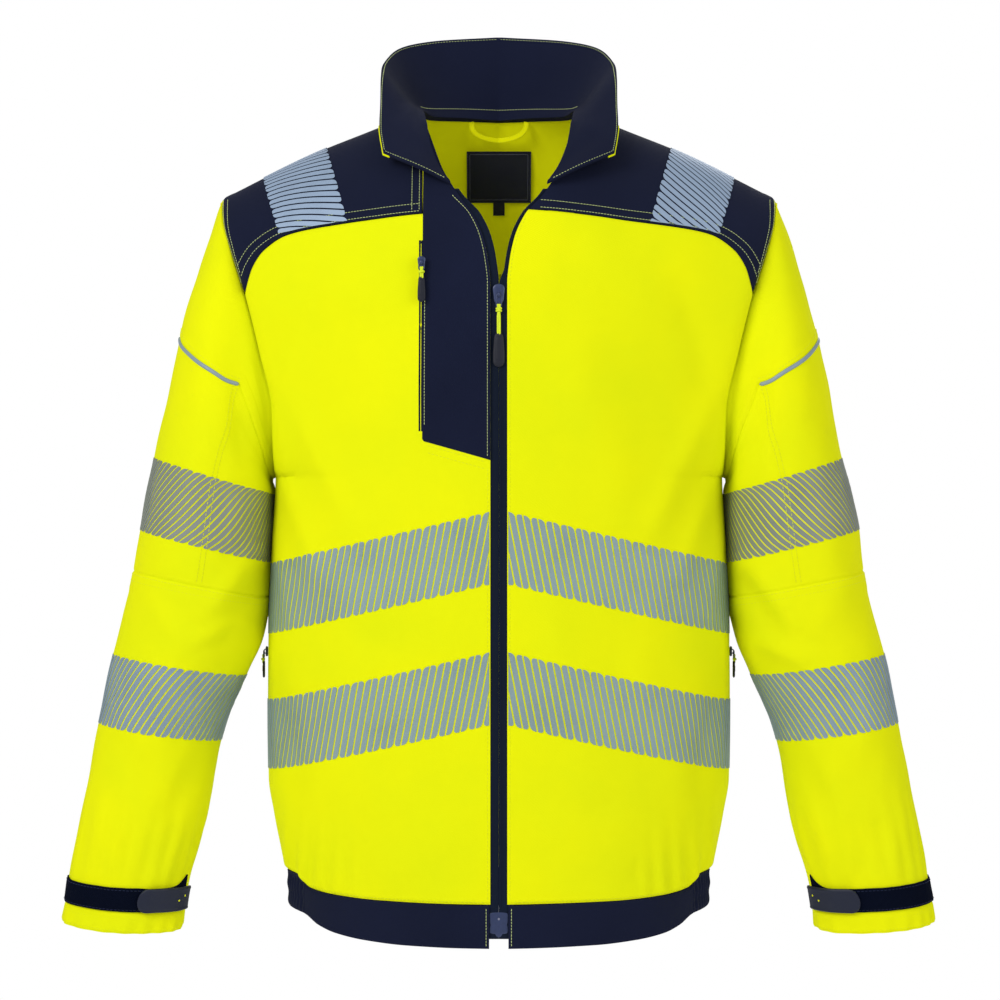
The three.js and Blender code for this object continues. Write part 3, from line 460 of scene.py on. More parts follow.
def stitches(name, lines, material, body_name="garment", pitch=3.3, length=2.6, radius=0.24):
    """Lockstitch thread: along each line, at an even pitch, a six-sided bead that swells from both
    needle holes and bows up 0.15 mm in the middle. `lines` holds pairs of points and normals."""
    station = np.array([0, 0.14, 0.5, 0.86, 1])
    girth = np.array([0.4, 1, 1, 1, 0.4])
    rise = np.array([-0.45, 0.02, 0.15, 0.02, -0.45])
    around = np.arange(6) * np.pi / 3
    grids = []
    for points, normals in lines:
        run = np.concatenate([[0], np.cumsum(np.linalg.norm(np.diff(points, axis=0), axis=-1))])
        first = np.arange(int(run[-1] / pitch)) * pitch + 0.3
        at = first[:, None] + station * length
        middle = np.stack([np.interp(at, run, points[:, k]) for k in range(3)], -1)
        up = np.stack([np.interp(at, run, normals[:, k]) for k in range(3)], -1)
        along = np.repeat(middle[:, -1:] - middle[:, :1], 5, axis=1)
        side = np.cross(along, up)
        side /= np.linalg.norm(side, axis=-1, keepdims=True)
        ring = np.cos(around)[:, None] * side[..., None, :] + np.sin(around)[:, None] * up[..., None, :]
        ring = ring * (girth * radius)[:, None, None]
        grids.append(middle[..., None, :] + (up * rise[:, None])[..., None, :] + ring)
    grid = np.concatenate(grids)
    index = np.arange(30).reshape(5, 6)
    turned = np.roll(index, -1, axis=1)
    one = np.stack([index[:-1], index[1:], turned[1:], turned[:-1]], -1).reshape(-1, 4)
    caps = np.array([[0, 1, 2, 3], [0, 3, 4, 5], [27, 26, 25, 24], [29, 28, 27, 24]])
    one = np.concatenate([one, caps])
    faces = (one + 30 * np.arange(len(grid))[:, None, None]).reshape(-1, 4)
    share = np.linspace(0, 1, len(grid) * 30)
    piece = make_object(name, grid.reshape(-1, 3), faces, np.stack([share, share], -1), material)
    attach(piece, body_name)
    return piece


def thread_material(name, color):
    """Spun polyester thread: a fine diagonal wave for its twist, painted into the colour as bands of shade a
    quarter darker, and a soft sheen.
    """
    material = bpy.data.materials.new(name)
    material.use_nodes = True
    nodes, links = material.node_tree.nodes, material.node_tree.links
    shader = nodes["Principled BSDF"]
    shader.inputs["Roughness"].default_value = 0.55
    shader.inputs["Specular IOR Level"].default_value = 0.3
    place = nodes.new("ShaderNodeTexCoord")
    twist = nodes.new("ShaderNodeTexWave")
    twist.bands_direction = "DIAGONAL"
    twist.inputs["Scale"].default_value = 900.0
    # Painted shade: the twist's grooves darken the thread's colour in fine bands.
    ramp = nodes.new("ShaderNodeValToRGB")
    ramp.color_ramp.elements[0].color = (*[0.75 * c for c in color], 1)
    ramp.color_ramp.elements[1].color = (*color, 1)
    links.new(place.outputs["Object"], twist.inputs["Vector"])
    links.new(twist.outputs["Fac"], ramp.inputs["Fac"])
    links.new(ramp.outputs["Color"], shader.inputs["Base Color"])
    return material


yellow_thread = thread_material("yellow_thread", (0.90, 0.95, 0.01))
for side, turn in (("left", 1), ("right", -1)):
    rows_h = np.linspace(hem_top(10) + 4, 606 if turn > 0 else 398, 260)
    beside = thread_line(turn * (neck_edge(rows_h) + 2.2), rows_h)
    seam_x = np.linspace(12, 150, 90)
    above_hem = thread_line(turn * seam_x, hem_top(seam_x) + 2.2)
    stitches(f"{side}_front_stitching", [beside, above_hem], yellow_thread)

# ---- Chest pocket -----------------------------------------------------------
# A navy panel sewn flat over the right front, from the zip to the pocket's own zip, with its
# lower edge slanting. Contrast thread holds both long edges. A pocketing bag hangs behind it.
CHEST_POCKET_X, POCKET_BOTTOM, POCKET_SLANT = 64.0, 418.0, 0.28
COLLAR_FRONT_END = 634.0
NAVY_DYE = (0.0066, 0.0100, 0.0330)

navy_twill = cloth_material("navy_twill", NAVY_DYE, (0.0048, 0.0076, 0.0260), 0.9, 0.12, 0.02)
pale_thread = thread_material("pale_thread", (0.68, 0.80, 0.34))


def pocket_line(x):
    """The pocket's lower edge falls towards the front zip."""
    return POCKET_BOTTOM - POCKET_SLANT * (CHEST_POCKET_X - x)


def chest_cut(cols, rows):
    """(x, h): columns run from the front edge to the pocket's zip, rows from the slanted bottom."""
    c, r = np.meshgrid(cols, rows)
    edge = mix(pocket_line(7) + 1, COLLAR_FRONT_END - SEAM, r)
    side = mix(pocket_line(CHEST_POCKET_X) + 1, 694, r)
    return mix(neck_edge(edge), CHEST_POCKET_X - 2 * SEAM, c), mix(edge, side, c)


cut_x, cut_h = chest_cut(shares(62, 2.4), shares(240, 3.0))
lift = roll(bare(cut_x, cut_h, False), ("low", "right"), ("left", "right", "low"), 4.0, 0.25) + 0.9
cloth("chest_pocket_cloth", body(-cut_x, cut_h, False, lift), body(-cut_x, cut_h, False, lift - CLOTH),
      navy_twill, flip=True, nodes=["chest_pocket_panel"])
pocketing = cloth_material("pocketing", (0.55, 0.58, 0.63), (0.48, 0.51, 0.56), 0.9, 0.15, 0.0, 1500)
bag_x, bag_h = np.meshgrid(np.linspace(-64, -14, 30), np.linspace(430, 590, 60))
cloth("chest_pocket_lining", body(bag_x, bag_h, False, -5.4), body(bag_x, bag_h, False, -6.2),
      pocketing, nodes=["chest_pocket_bag"])

line_h = np.linspace(432, 548, 200)
edge_h = np.linspace(406, 626, 300)
bottom_x = np.linspace(12, 61, 80)
stitches("chest_pocket_stitching", [
    thread_line(np.full(200, -CHEST_POCKET_X + 2.6), line_h, False, 1.2),
    thread_line(-(neck_edge(edge_h) + 2.4), edge_h, False, 1.2)], pale_thread, pitch=2.6, length=2.1)
stitches("chest_pocket_hem_stitching", [
    thread_line(-bottom_x, pocket_line(bottom_x) - 1.6), thread_line(-bottom_x, pocket_line(bottom_x) - 7.5)],
    yellow_thread)

# ---- Shoulder yokes ---------------------------------------------------------
# Navy twill over both shoulders, front and back, with its seams turned up and held by two rows of
# pale contrast thread along the lower edge and round the armhole.
YOKE_SEAM_BACK = 575.0


def back_neck(x):
    """The neck seam across the back: 712 mm at the centre, down to the shoulder points as x squared."""
    return mix(BACK_LENGTH, NECK_H, (np.asarray(x, float) / NECK_X) ** 2)


def yoke_rows(length, bend):
    """Shares up a yoke, closer together towards the shoulder line, where the cloth turns over."""
    return 1 - (1 - shares(length, 2.6)) ** bend


def besides_pocket(h):
    return np.maximum(CHEST_POCKET_X + SEAM, neck_edge(h) + SEAM)


for side, turn, inner_edge in (("left", 1, neck_edge), ("right", -1, besides_pocket)):
    cut_x, cut_h = patch(inner_edge, half_width, lambda x: yoke_seam(x) + SEAM, lambda x: shoulder(x) + SEAM,
                         shares(185, 2.6), yoke_rows(170, 1.9))
    lift = roll(bare(cut_x, cut_h, False), ("low", "right"), ("low", "right"), 9.0, 0.35)
    cloth(f"{side}_yoke_cloth", body(turn * cut_x, cut_h, False, lift),
          body(turn * cut_x, cut_h, False, lift - CLOTH), navy_twill, flip=turn < 0,
          nodes=[f"{side}_front_yoke"])


def back_yoke_cut(cols, rows):
    """(x, h): columns are shares of the way from the centre back to the armhole at each height."""
    c, r = np.meshgrid(cols, rows)
    x_top = c * half_width(SHOULDER_TIP)
    top = np.where(np.abs(x_top) < NECK_X, back_neck(x_top) - SEAM, shoulder(np.abs(x_top)))
    h_edge = mix(YOKE_SEAM_BACK + SEAM, SHOULDER_TIP, r)
    return c * half_width(h_edge), mix(YOKE_SEAM_BACK + SEAM, top, r)


cut_x, cut_h = back_yoke_cut(shares(478, 3.4) * 2 - 1, yoke_rows(190, 2.1))
lift = roll(bare(cut_x, cut_h, True), ("low", "left", "right"), ("low", "left", "right"), 9.0, 0.35)
cloth("back_yoke_cloth", body(cut_x, cut_h, True, lift), body(cut_x, cut_h, True, lift - CLOTH),
      navy_twill, flip=True, nodes=["back_yoke"])


def inset(h, back, distance):
    """x of the point that lies `distance` along the surface from the body's side edge at height h,
    read off the running length of 60 close points on each level."""
    x = half_width(h)[:, None] * np.sin(np.linspace(1, 0.7, 60) * np.pi / 2)
    points = bare(x, np.broadcast_to(h[:, None], x.shape), back)
    run = np.pad(np.cumsum(np.linalg.norm(np.diff(points, axis=1), axis=-1), axis=1), ((0, 0), (1, 0)))
    after = np.argmax(run >= distance, axis=1)
    row = np.arange(len(h))
    low, high = run[row, after - 1], run[row, after]
    return mix(x[row, after - 1], x[row, after], (distance - low) / (high - low))


def beside_seam(x, distance):
    """(x, h) of the yoke seam moved square to itself by `distance`, up to the armhole's edge."""
    slope = yoke_seam(x + 0.5) - yoke_seam(x - 0.5)
    size = np.sqrt(1 + slope**2)
    moved_x, moved_h = x - distance * slope / size, yoke_seam(x) + distance / size
    kept = moved_x < half_width(moved_h) - 1.2
    return moved_x[kept], moved_h[kept]


for side, turn in (("left", 1), ("right", -1)):
    lines = []
    for distance in (1.9, 8.2):
        seam_x, seam_h = beside_seam(np.linspace(34 if turn > 0 else 66, 219.2, 300), distance)
        lines.append(thread_line(turn * seam_x, seam_h, False, 0.4))
        hole_h = np.linspace(552 + 1.3 * distance, SHOULDER_TIP - 2, 150)
        lines.append(thread_line(turn * inset(hole_h, False, distance), hole_h, False, 0.4))
        back_h = np.linspace(YOKE_SEAM_BACK + 1, SHOULDER_TIP - 2, 120)
        lines.append(thread_line(turn * inset(back_h, True, distance), back_h, True, 0.4))
    if turn < 0:
        for beside in (2.4, 8.6):
            line_h = np.linspace(612, 664, 120)
            lines.append(thread_line(np.full(120, -CHEST_POCKET_X - beside), line_h, False, 0.4))
    stitches(f"{side}_yoke_stitching", lines, pale_thread, pitch=2.6, length=2.1)
seam_x = np.linspace(-214, 214, 400)
stitches("back_yoke_stitching", [thread_line(seam_x, np.full(400, YOKE_SEAM_BACK + d), True, 0.4)
                                 for d in (1.9, 8.2)], pale_thread, pitch=2.6, length=2.1)

# ---- Back -------------------------------------------------------------------
# One wide fluorescent yellow panel from the hem to the yoke, with the same hanging folds.
cols = np.sin((shares(430, 3.2) * 2 - 1) * np.pi / 2)
c, r = np.meshgrid(cols, shares(540, 3.6))
cut_h = np.full(c.shape, 300.0)
for _ in range(8):
    cut_x = c * half_width(cut_h)
    cut_h = mix(hem_top(cut_x) + SEAM, YOKE_SEAM_BACK + SEAM, r)
lift = roll(bare(cut_x, cut_h, True), ("left", "right", "low", "high"))
cloth("back_cloth", body(cut_x, cut_h, True, lift), body(cut_x, cut_h, True, lift - CLOTH),
      yellow_twill, flip=True, nodes=["back_panel"])

# ---- Inside the neck and fronts ---------------------------------------------
# A yellow facing lines the back of the neck; navy facings back both front edges and hold the zip.
yellow_lining = cloth_material("yellow_lining", (0.92, 0.92, 0.003), (0.84, 0.85, 0.003), 0.9, 0.05, 0.0)
# Painted light: the lining glows faintly, so the shaded inside of the neck and the hanger loop, which shares
# this material, look brighter.
lining_painted_glow = yellow_lining.node_tree.nodes["Principled BSDF"]
lining_painted_glow.inputs["Emission Color"].default_value = (0.9, 0.92, 0.004, 1)
lining_painted_glow.inputs["Emission Strength"].default_value = 0.13
cut_x, cut_h = back_yoke_cut(np.linspace(-0.297, 0.297, 60), yoke_rows(170, 2.1))
cloth("neck_facing_cloth", body(cut_x, cut_h, True, -2.6), body(cut_x, cut_h, True, -3.5),
      yellow_lining, flip=True, nodes=["back_neck_facing"])
cols, rows = shares(36, 2.4, (0.8, 2.0)), shares(620, 4.0, (1.0, 2.4))
c, r = np.meshgrid(cols, rows)
cut_h = mix(8, COLLAR_FRONT_END - 2, r)
cut_x = mix(np.maximum(6.5, neck_edge(cut_h) - 1), np.maximum(40, neck_edge(cut_h) + 16), c)
for side, turn in (("left", 1), ("right", -1)):
    cloth(f"{side}_facing_cloth", body(turn * cut_x, cut_h, False, -4.2),
          body(turn * cut_x, cut_h, False, -5.0),
          navy_twill, flip=turn < 0, nodes=[f"{side}_front_facing"])

# ---- Hem --------------------------------------------------------------------
# A navy band doubled over along the bottom edge, plain across front and back. At the sides a
# covered elastic gathers it into close upright ribs.
HEM_FRONT_END = 0.905


def band_lift(grid):
    """The doubled band swells 0.6 mm between its two edges, as half a sine wave."""
    share = np.linspace(0, 1, grid.shape[0])[:, None]
    return 0.6 * np.sin(np.pi * share) + roll(grid, ("high",), ("low", "high"), 3.0, 0.3)


def band_cut(shares_across, turn=1):
    c, r = np.meshgrid(shares_across, shares(36, 2.0))
    x = np.where(np.abs(c) < 0.05, turn * 8.0, c * half_width(0))
    return x, mix(hem_line(x), hem_top(x) - SEAM, r)


for side, turn in (("left", 1), ("right", -1)):
    cut_x, cut_h = band_cut(np.concatenate([[0], np.linspace(0.052, HEM_FRONT_END, 64)]))
    lift = band_lift(bare(cut_x, cut_h, False))
    cloth(f"{side}_hem_cloth", body(turn * cut_x, cut_h, False, lift),
          body(turn * cut_x, cut_h, False, lift - 2), navy_twill, flip=turn < 0,
          nodes=[f"{side}_hem_band"])
    upright = np.linspace(2, 34, 60)
    front_edge = thread_line(np.full(60, turn * 10.4), upright, False, 0.9)
    stitches(f"{side}_hem_stitching", [front_edge], pale_thread,
             pitch=2.6, length=2.1)
c, r = np.meshgrid(np.linspace(-HEM_FRONT_END, HEM_FRONT_END, 130), shares(36, 2.0))
cut_x = c * half_width(0)
cut_h = mix(hem_line(cut_x), hem_top(cut_x) - SEAM, r)
lift = band_lift(bare(cut_x, cut_h, True))
cloth("back_hem_cloth", body(cut_x, cut_h, True, lift), body(cut_x, cut_h, True, lift - 2),
      navy_twill, flip=True, nodes=["back_hem_band"])

around = np.linspace(-1, 1, 161)
share_x = np.cos(np.abs(around) ** 0.9 * math.acos(HEM_FRONT_END))
rows = np.linspace(0, 1, 22)
s, r = np.meshgrid(share_x, rows)
front_side = np.broadcast_to(around < 0, s.shape)
x = s * half_width(0)
h = mix(hem_line(x), hem_top(x) - SEAM, r)
ring_y = depth(share_x * 181.0, 18.0, False) * np.sign(-around)
run = np.cumsum(np.pad(np.hypot(np.diff(share_x) * 181, np.diff(ring_y)), (1, 0)))
gather = 1.1 * np.sin(run * 2 * np.pi / 6.3) * np.sin(np.pi * rows[:, None]) ** 0.4
ribs = gather * (0.75 + 0.25 * drift(x, h * 3, 60, 4)) + 0.4 * np.sin(np.pi * rows * 4)[:, None]
for side, turn in (("left", 1), ("right", -1)):
    outer = np.where(front_side[..., None], body(turn * x, h, False, ribs), body(turn * x, h, True, ribs))
    inner = np.where(front_side[..., None], body(turn * x, h, False, ribs - 2),
                     body(turn * x, h, True, ribs - 2))
    cloth(f"{side}_hem_gather", outer, inner, navy_twill, flip=turn < 0,
          nodes=[f"{side}_hem_elastic"])

# ---- Sleeves ----------------------------------------------------------------
# Each sleeve is three tubes of yellow twill: a cap set into the armhole, the upper sleeve below the
# piping, and the forearm below the elbow seam. They hang a little forward and crease at the elbow.
# outer edge x, h; inner edge x, h; half depth; how far forward, at each station down the arm
SLEEVE = np.array([
    (239, 632, 193.5, 391, 63, 0), (258, 580, 196.5, 388, 72, 0), (272, 530, 197, 385, 77, 1),
    (285, 470, 195.4, 381, 78, 2), (298, 407, 194.4, 375, 77, 4), (310, 352, 195.4, 322, 74, 6),
    (316, 309, 197.8, 286, 71, 8), (324, 272, 205, 250, 67, 10), (333, 238, 217.5, 219.5, 63, 12),
    (344.5, 178.6, 240, 163, 55, 16), (358, 110, 252, 95, 46, 20), (369, 46, 267, 40, 36, 24),
    (375, 8.5, 272.5, 2.5, 31, 26)])
outer_x, outer_h, inner_x, inner_h, sleeve_depth, sleeve_forward = [
    smooth_curve(list(enumerate(column))) for column in SLEEVE.T]
ELBOW, CUFF = 6.0, 12.0
ARMHOLE_GAP = 0.3


def piping_line(angle):
    """Station of the piping: 2.33 over the arm's outer edge, rising late to 1.03 at the inner seams,
    so that it hangs straight across the sleeve."""
    return 2.33 - 1.3 * np.minimum(1, np.abs(angle) / (0.56 * np.pi)) ** 3.6


def bare_arm(u, angle):
    """The left sleeve's plain surface: u counts stations, and the angle runs from the outer edge at
    0 over the front at pi/2 to the inner edge at pi. Each section is an ellipse between the two
    edges, lower at the front by the cuff, and the first 1.6 stations turn gradually into the
    armhole's own outline."""
    u, angle = np.broadcast_arrays(np.asarray(u, float), np.asarray(angle, float))
    share = (1 - np.cos(angle)) / 2
    x = mix(outer_x(u), inner_x(u), share)
    h = mix(outer_h(u), inner_h(u), share) - 4 * np.clip((u - 9) / 3, 0, 1) * np.sin(angle)
    y = -sleeve_forward(u) - sleeve_depth(u) * np.sin(angle)
    blend = np.clip(1 - u / 1.6, 0, 1) ** 2
    hole_h = mix(UNDERARM, SHOULDER_TIP, (1 + np.cos(angle)) / 2)
    hole_x = half_width(hole_h)
    hole_y = np.where(angle < 0, depth(hole_x, hole_h, True), -depth(hole_x, hole_h, False))
    hole = np.stack([hole_x + ARMHOLE_GAP, hole_y, hole_h], -1)
    point = np.stack([x + ARMHOLE_GAP * (1 - blend), y, h], -1)
    return mix(point, hole, blend[..., None])


ARM_FOLDS = [
    # on the front of the sleeve unless marked -1: start (x, h), end (x, h), width, height
    (1, (212, 500), (203, 350), 8, 2.2), (1, (224, 470), (214, 400), 7, -1.4),
    (1, (236, 560), (262, 440), 16, 1.6),
    (1, (203, 330), (252, 262), 9, 2.6), (1, (206, 300), (240, 246), 8, -1.8),
    (1, (212, 262), (262, 240), 8, 2.2), (1, (300, 300), (262, 246), 12, 1.6),
    (1, (330, 196), (262, 120), 13, 1.5), (1, (250, 170), (282, 96), 9, -1.5),
    (1, (258, 108), (296, 40), 8, 1.6), (1, (345, 116), (330, 46), 10, 1.3),
    (1, (318, 90), (306, 34), 7, -1.1), (1, (296, 400), (282, 300), 16, 1.2),
    (-1, (212, 480), (250, 380), 12, 2.2), (-1, (206, 330), (290, 280), 11, 2.6),
    (-1, (210, 280), (300, 240), 10, 2.4), (-1, (330, 190), (270, 110), 14, 1.8),
    (-1, (262, 90), (310, 40), 9, 1.6),
]


def arm_folds(u, angle, point, seed):
    """Creases of the sleeve, each strongest where the sleeve faces front or back, with a slow
    unevenness of 1.3 mm and short ripples drawn in by the cuff strap. They fade where the cuff's
    tab is sewn in, as an exponential of the angle's cosine."""
    x, h = point[..., 0], point[..., 2]
    total = 0
    for i, (face, start, end, width, height) in enumerate(ARM_FOLDS):
        shift = 9 * math.sin(3.7 * i + seed)
        facing = np.clip(face * np.sin(angle) * 1.6, 0, 1)
        total = total + facing * fold(x, h, (start[0], start[1] + shift), (end[0], end[1] + shift),
                                      width, height)
    total = 1.3 * total + 1.3 * drift(angle * 70, h, 110, seed) + 0.5 * drift(angle * 70, h, 38, seed + 9)
    drawn = np.exp(-((u - 10.5) / 0.55) ** 2) + np.exp(-((u - 11.95) / 0.3) ** 2)
    ripples = drawn * 0.8 * np.sin(angle * 17 + 2 * np.sin(angle * 2 + seed))
    sewn_flat = np.exp(-((u - 11.25) / 0.7) ** 2 + (np.cos(angle - 0.94 * np.pi) - 1) / 0.08)
    return (total + ripples) * np.clip(u / 0.5, 0, 1) * (1 - 0.92 * sewn_flat)


def arm(turn, u, angle, lift=0.0):
    """A point of the creased sleeve on the left (turn 1) or the right (-1), moved out by `lift`."""
    u, angle = np.broadcast_arrays(np.asarray(u, float), np.asarray(angle, float))
    below, above = bare_arm(np.maximum(u - 0.02, 0), angle), bare_arm(u + 0.02, angle)
    around = bare_arm(u, angle + 0.01) - bare_arm(u, angle - 0.01)
    normal = np.cross(below - above, around)
    normal /= np.linalg.norm(normal, axis=-1, keepdims=True)
    point = bare_arm(u, angle)
    out = arm_folds(u, angle, point, 5 if turn > 0 else 8) + lift
    return (point + normal * out[..., None]) * [turn, 1, 1]


def arm_grid(u_low, u_high, length, count=132):
    """(u, angle) of a tube of sleeve between two edges u(angle), rows running up from the cuff end."""
    angles = np.pi - np.arange(count) * 2 * np.pi / count
    rows = shares(length, 3.4)[:, None]
    return mix(u_low(angles)[None], u_high(angles)[None], rows), np.broadcast_to(angles, (len(rows), count))


def level(u):
    """An edge at one station of the sleeve, the same all round it."""
    return lambda angle: np.full(np.shape(angle), float(u))


def tube_dips(u, angle, ridges=(), width=8.0, height=0.5):
    grid = bare_arm(u, angle)
    return roll(grid, ("low", "high"), ridges, width, height)


for side, turn in (("left", 1), ("right", -1)):
    for name, low, high, length, ridge in (
            ("cap", piping_line, level(0), 130, ("low",)),
            ("upper_sleeve", level(ELBOW), piping_line, 230, ()),
            ("forearm", level(CUFF), level(ELBOW), 300, ("high", "low"))):
        u, angle = arm_grid(low, high, length)
        dips = tube_dips(u, angle, ridge, 16.0 if name == "forearm" else 8.0)
        node = "sleeve_cap" if name == "cap" else name
        cloth(f"{side}_{name}_cloth", arm(turn, u, angle, dips), arm(turn, u, angle, dips - CLOTH),
              yellow_twill, flip=turn < 0, wrap=True, nodes=[f"{side}_{node}"])


def arm_line(turn, u, angle, lift=0.0):
    """Points and normals of a stitched line on a sleeve."""
    low, high = arm(turn, u, angle, lift), arm(turn, u, angle, lift + 1)
    return low, high - low


full_turn = np.linspace(-np.pi, np.pi, 500)
FRONT_SEAM = smooth_curve([(1.0, 1.75), (2.4, 1.83), (3.2, 1.77), (4.2, 1.73), (6.0, 1.67)])
for side, turn in (("left", 1), ("right", -1)):
    lines = [arm_line(turn, ELBOW + d, full_turn, 0.3) for d in (0.05, 0.19)]
    cap_turn = np.linspace(-0.56, 0.56, 300) * np.pi
    lines.append(arm_line(turn, piping_line(cap_turn) - 0.13, cap_turn, 0.4))
    lines += [arm_line(turn, np.full(500, u), full_turn, 0.2) for u in (11.66, 11.93)]
    down = np.linspace(1.15, 5.96, 300)
    for d in (0.0, 0.07):
        lines.append(arm_line(turn, down, FRONT_SEAM(down) - d, 0.3))
        lines.append(arm_line(turn, down, -FRONT_SEAM(down) - d, 0.3))
    stitches(f"{side}_sleeve_stitching", lines, yellow_thread)

# ---- Sleeve piping ----------------------------------------------------------
# A reflective cord caught in the seam below each sleeve cap, from the front seam over the arm to
# the back seam.


def moulded(name, spine, side, up, half_width_mm, half_height_mm, material, body_name="garment",
            nodes=(), power=0.7, sides=16):
    """A closed solid carried along a line of points: each section is a superellipse across `side`
    and `up` with its own half width and half height, and both ends close to a point."""
    around = np.arange(sides) * 2 * np.pi / sides
    cos, sin = np.cos(around), np.sin(around)
    cos, sin = np.sign(cos) * np.abs(cos) ** power, np.sign(sin) * np.abs(sin) ** power
    side, up = np.broadcast_to(side, spine.shape)[:, None], np.broadcast_to(up, spine.shape)[:, None]
    a = np.asarray(half_width_mm, float)[:, None, None] * cos[:, None] * side
    b = np.asarray(half_height_mm, float)[:, None, None] * sin[:, None] * up
    grid = spine[:, None] + a + b
    index = np.arange(len(spine) * sides).reshape(-1, sides)
    turned = np.roll(index, -1, axis=1)
    faces = np.stack([index[:-1], turned[:-1], turned[1:], index[1:]], -1).reshape(-1, 4)
    size = np.linalg.norm(np.diff(spine, axis=0), axis=-1)
    run = np.concatenate([[0], np.cumsum(size)]) * 0.001
    uv = np.stack([np.broadcast_to(around * 0.002, (len(spine), sides)),
                   np.repeat(run[:, None], sides, 1)], -1)
    piece = make_object(name, grid.reshape(-1, 3), faces, uv.reshape(-1, 2), material)
    close_ends(piece)
    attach(piece, body_name)
    if nodes:
        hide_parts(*nodes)
    return piece


def close_ends(piece):
    """Joins the points that meet at each closed end, and turns every face outwards."""
    shape = bmesh.new()
    shape.from_mesh(piece.data)
    bmesh.ops.remove_doubles(shape, verts=shape.verts, dist=2e-6)
    bmesh.ops.recalc_face_normals(shape, faces=shape.faces)
    shape.to_mesh(piece.data)
    shape.free()


def rounded(share, ends=0.5, power=2.0):
    """Half size along a piece with round ends: a quarter of a superellipse over `ends` at each end."""
    near = np.clip(np.minimum(share, 1 - share) / ends, 0, 1)
    return (1 - (1 - near) ** power) ** (1 / power)


def close_to_ends(count):
    """Shares along a piece, packed towards its ends as a cosine, for round ends."""
    return (1 - np.cos(np.linspace(0, np.pi, count))) / 2


def reflective_material(name, color):
    """Heat-sealed silver film: fine glass beads as noise in colour and bump, a broad metallic gloss."""
    material = bpy.data.materials.new(name)
    material.use_nodes = True
    nodes, links = material.node_tree.nodes, material.node_tree.links
    shader = nodes["Principled BSDF"]
    shader.inputs["Metallic"].default_value = 0.15
    shader.inputs["Roughness"].default_value = 0.5
    shader.inputs["Specular IOR Level"].default_value = 0.4
    place = nodes.new("ShaderNodeTexCoord")
    beads = nodes.new("ShaderNodeTexNoise")
    beads.inputs["Scale"].default_value = 1400.0
    beads.inputs["Detail"].default_value = 4.0
    slow = nodes.new("ShaderNodeTexNoise")
    slow.inputs["Scale"].default_value = 26.0
    slow.inputs["Detail"].default_value = 3.0
    both = nodes.new("ShaderNodeMath")
    both.operation = "ADD"
    ramp = nodes.new("ShaderNodeValToRGB")
    ramp.color_ramp.elements[0].position = 0.62
    ramp.color_ramp.elements[0].color = (*[0.8 * c for c in color], 1)
    ramp.color_ramp.elements[1].position = 1.0
    ramp.color_ramp.elements[1].color = (*color, 1)
    bump = nodes.new("ShaderNodeBump")
    bump.inputs["Strength"].default_value = 0.25
    bump.inputs["Distance"].default_value = 0.0002
    links.new(place.outputs["Object"], beads.inputs["Vector"])
    links.new(place.outputs["Object"], slow.inputs["Vector"])
    links.new(beads.outputs["Fac"], both.inputs[0])
    links.new(slow.outputs["Fac"], both.inputs[1])
    links.new(both.outputs["Value"], ramp.inputs["Fac"])
    links.new(ramp.outputs["Color"], shader.inputs["Base Color"])
    links.new(beads.outputs["Fac"], bump.inputs["Height"])
    links.new(bump.outputs["Normal"], shader.inputs["Normal"])
    return material


silver_film = reflective_material("silver_film", (0.28, 0.36, 0.42))
for side, turn in (("left", 1), ("right", -1)):
    angle = np.linspace(-0.56, 0.56, 170) * np.pi
    spine = arm(turn, piping_line(angle) + 0.02, angle, 0.1)
    along = np.gradient(spine, axis=0)
    up = arm(turn, piping_line(angle) + 0.02, angle, 1.1) - spine
    across = np.cross(along, up)
    across /= np.linalg.norm(across, axis=-1, keepdims=True)
    ends = rounded(np.linspace(0, 1, 170), 0.01)
    moulded(f"{side}_piping_cord", spine, across, up, 1.75 * ends, 1.1 * ends, silver_film,
            nodes=[f"{side}_sleeve_piping"], power=0.9, sides=12)

# ---- Reflective tapes -------------------------------------------------------
# Segmented silver film, heat-sealed to the cloth as slanting bars in pairs, with the outer corners
# of each pair rounded. Two tapes go round the body and each sleeve, and one over each shoulder.
BAR_WIDTH, BAR_PITCH = 4.85, 6.35
BAR_CORNER = 3.0
FILM = 0.22
TAPE_DROP, TAPE_SLOPE = 60.0, 0.237


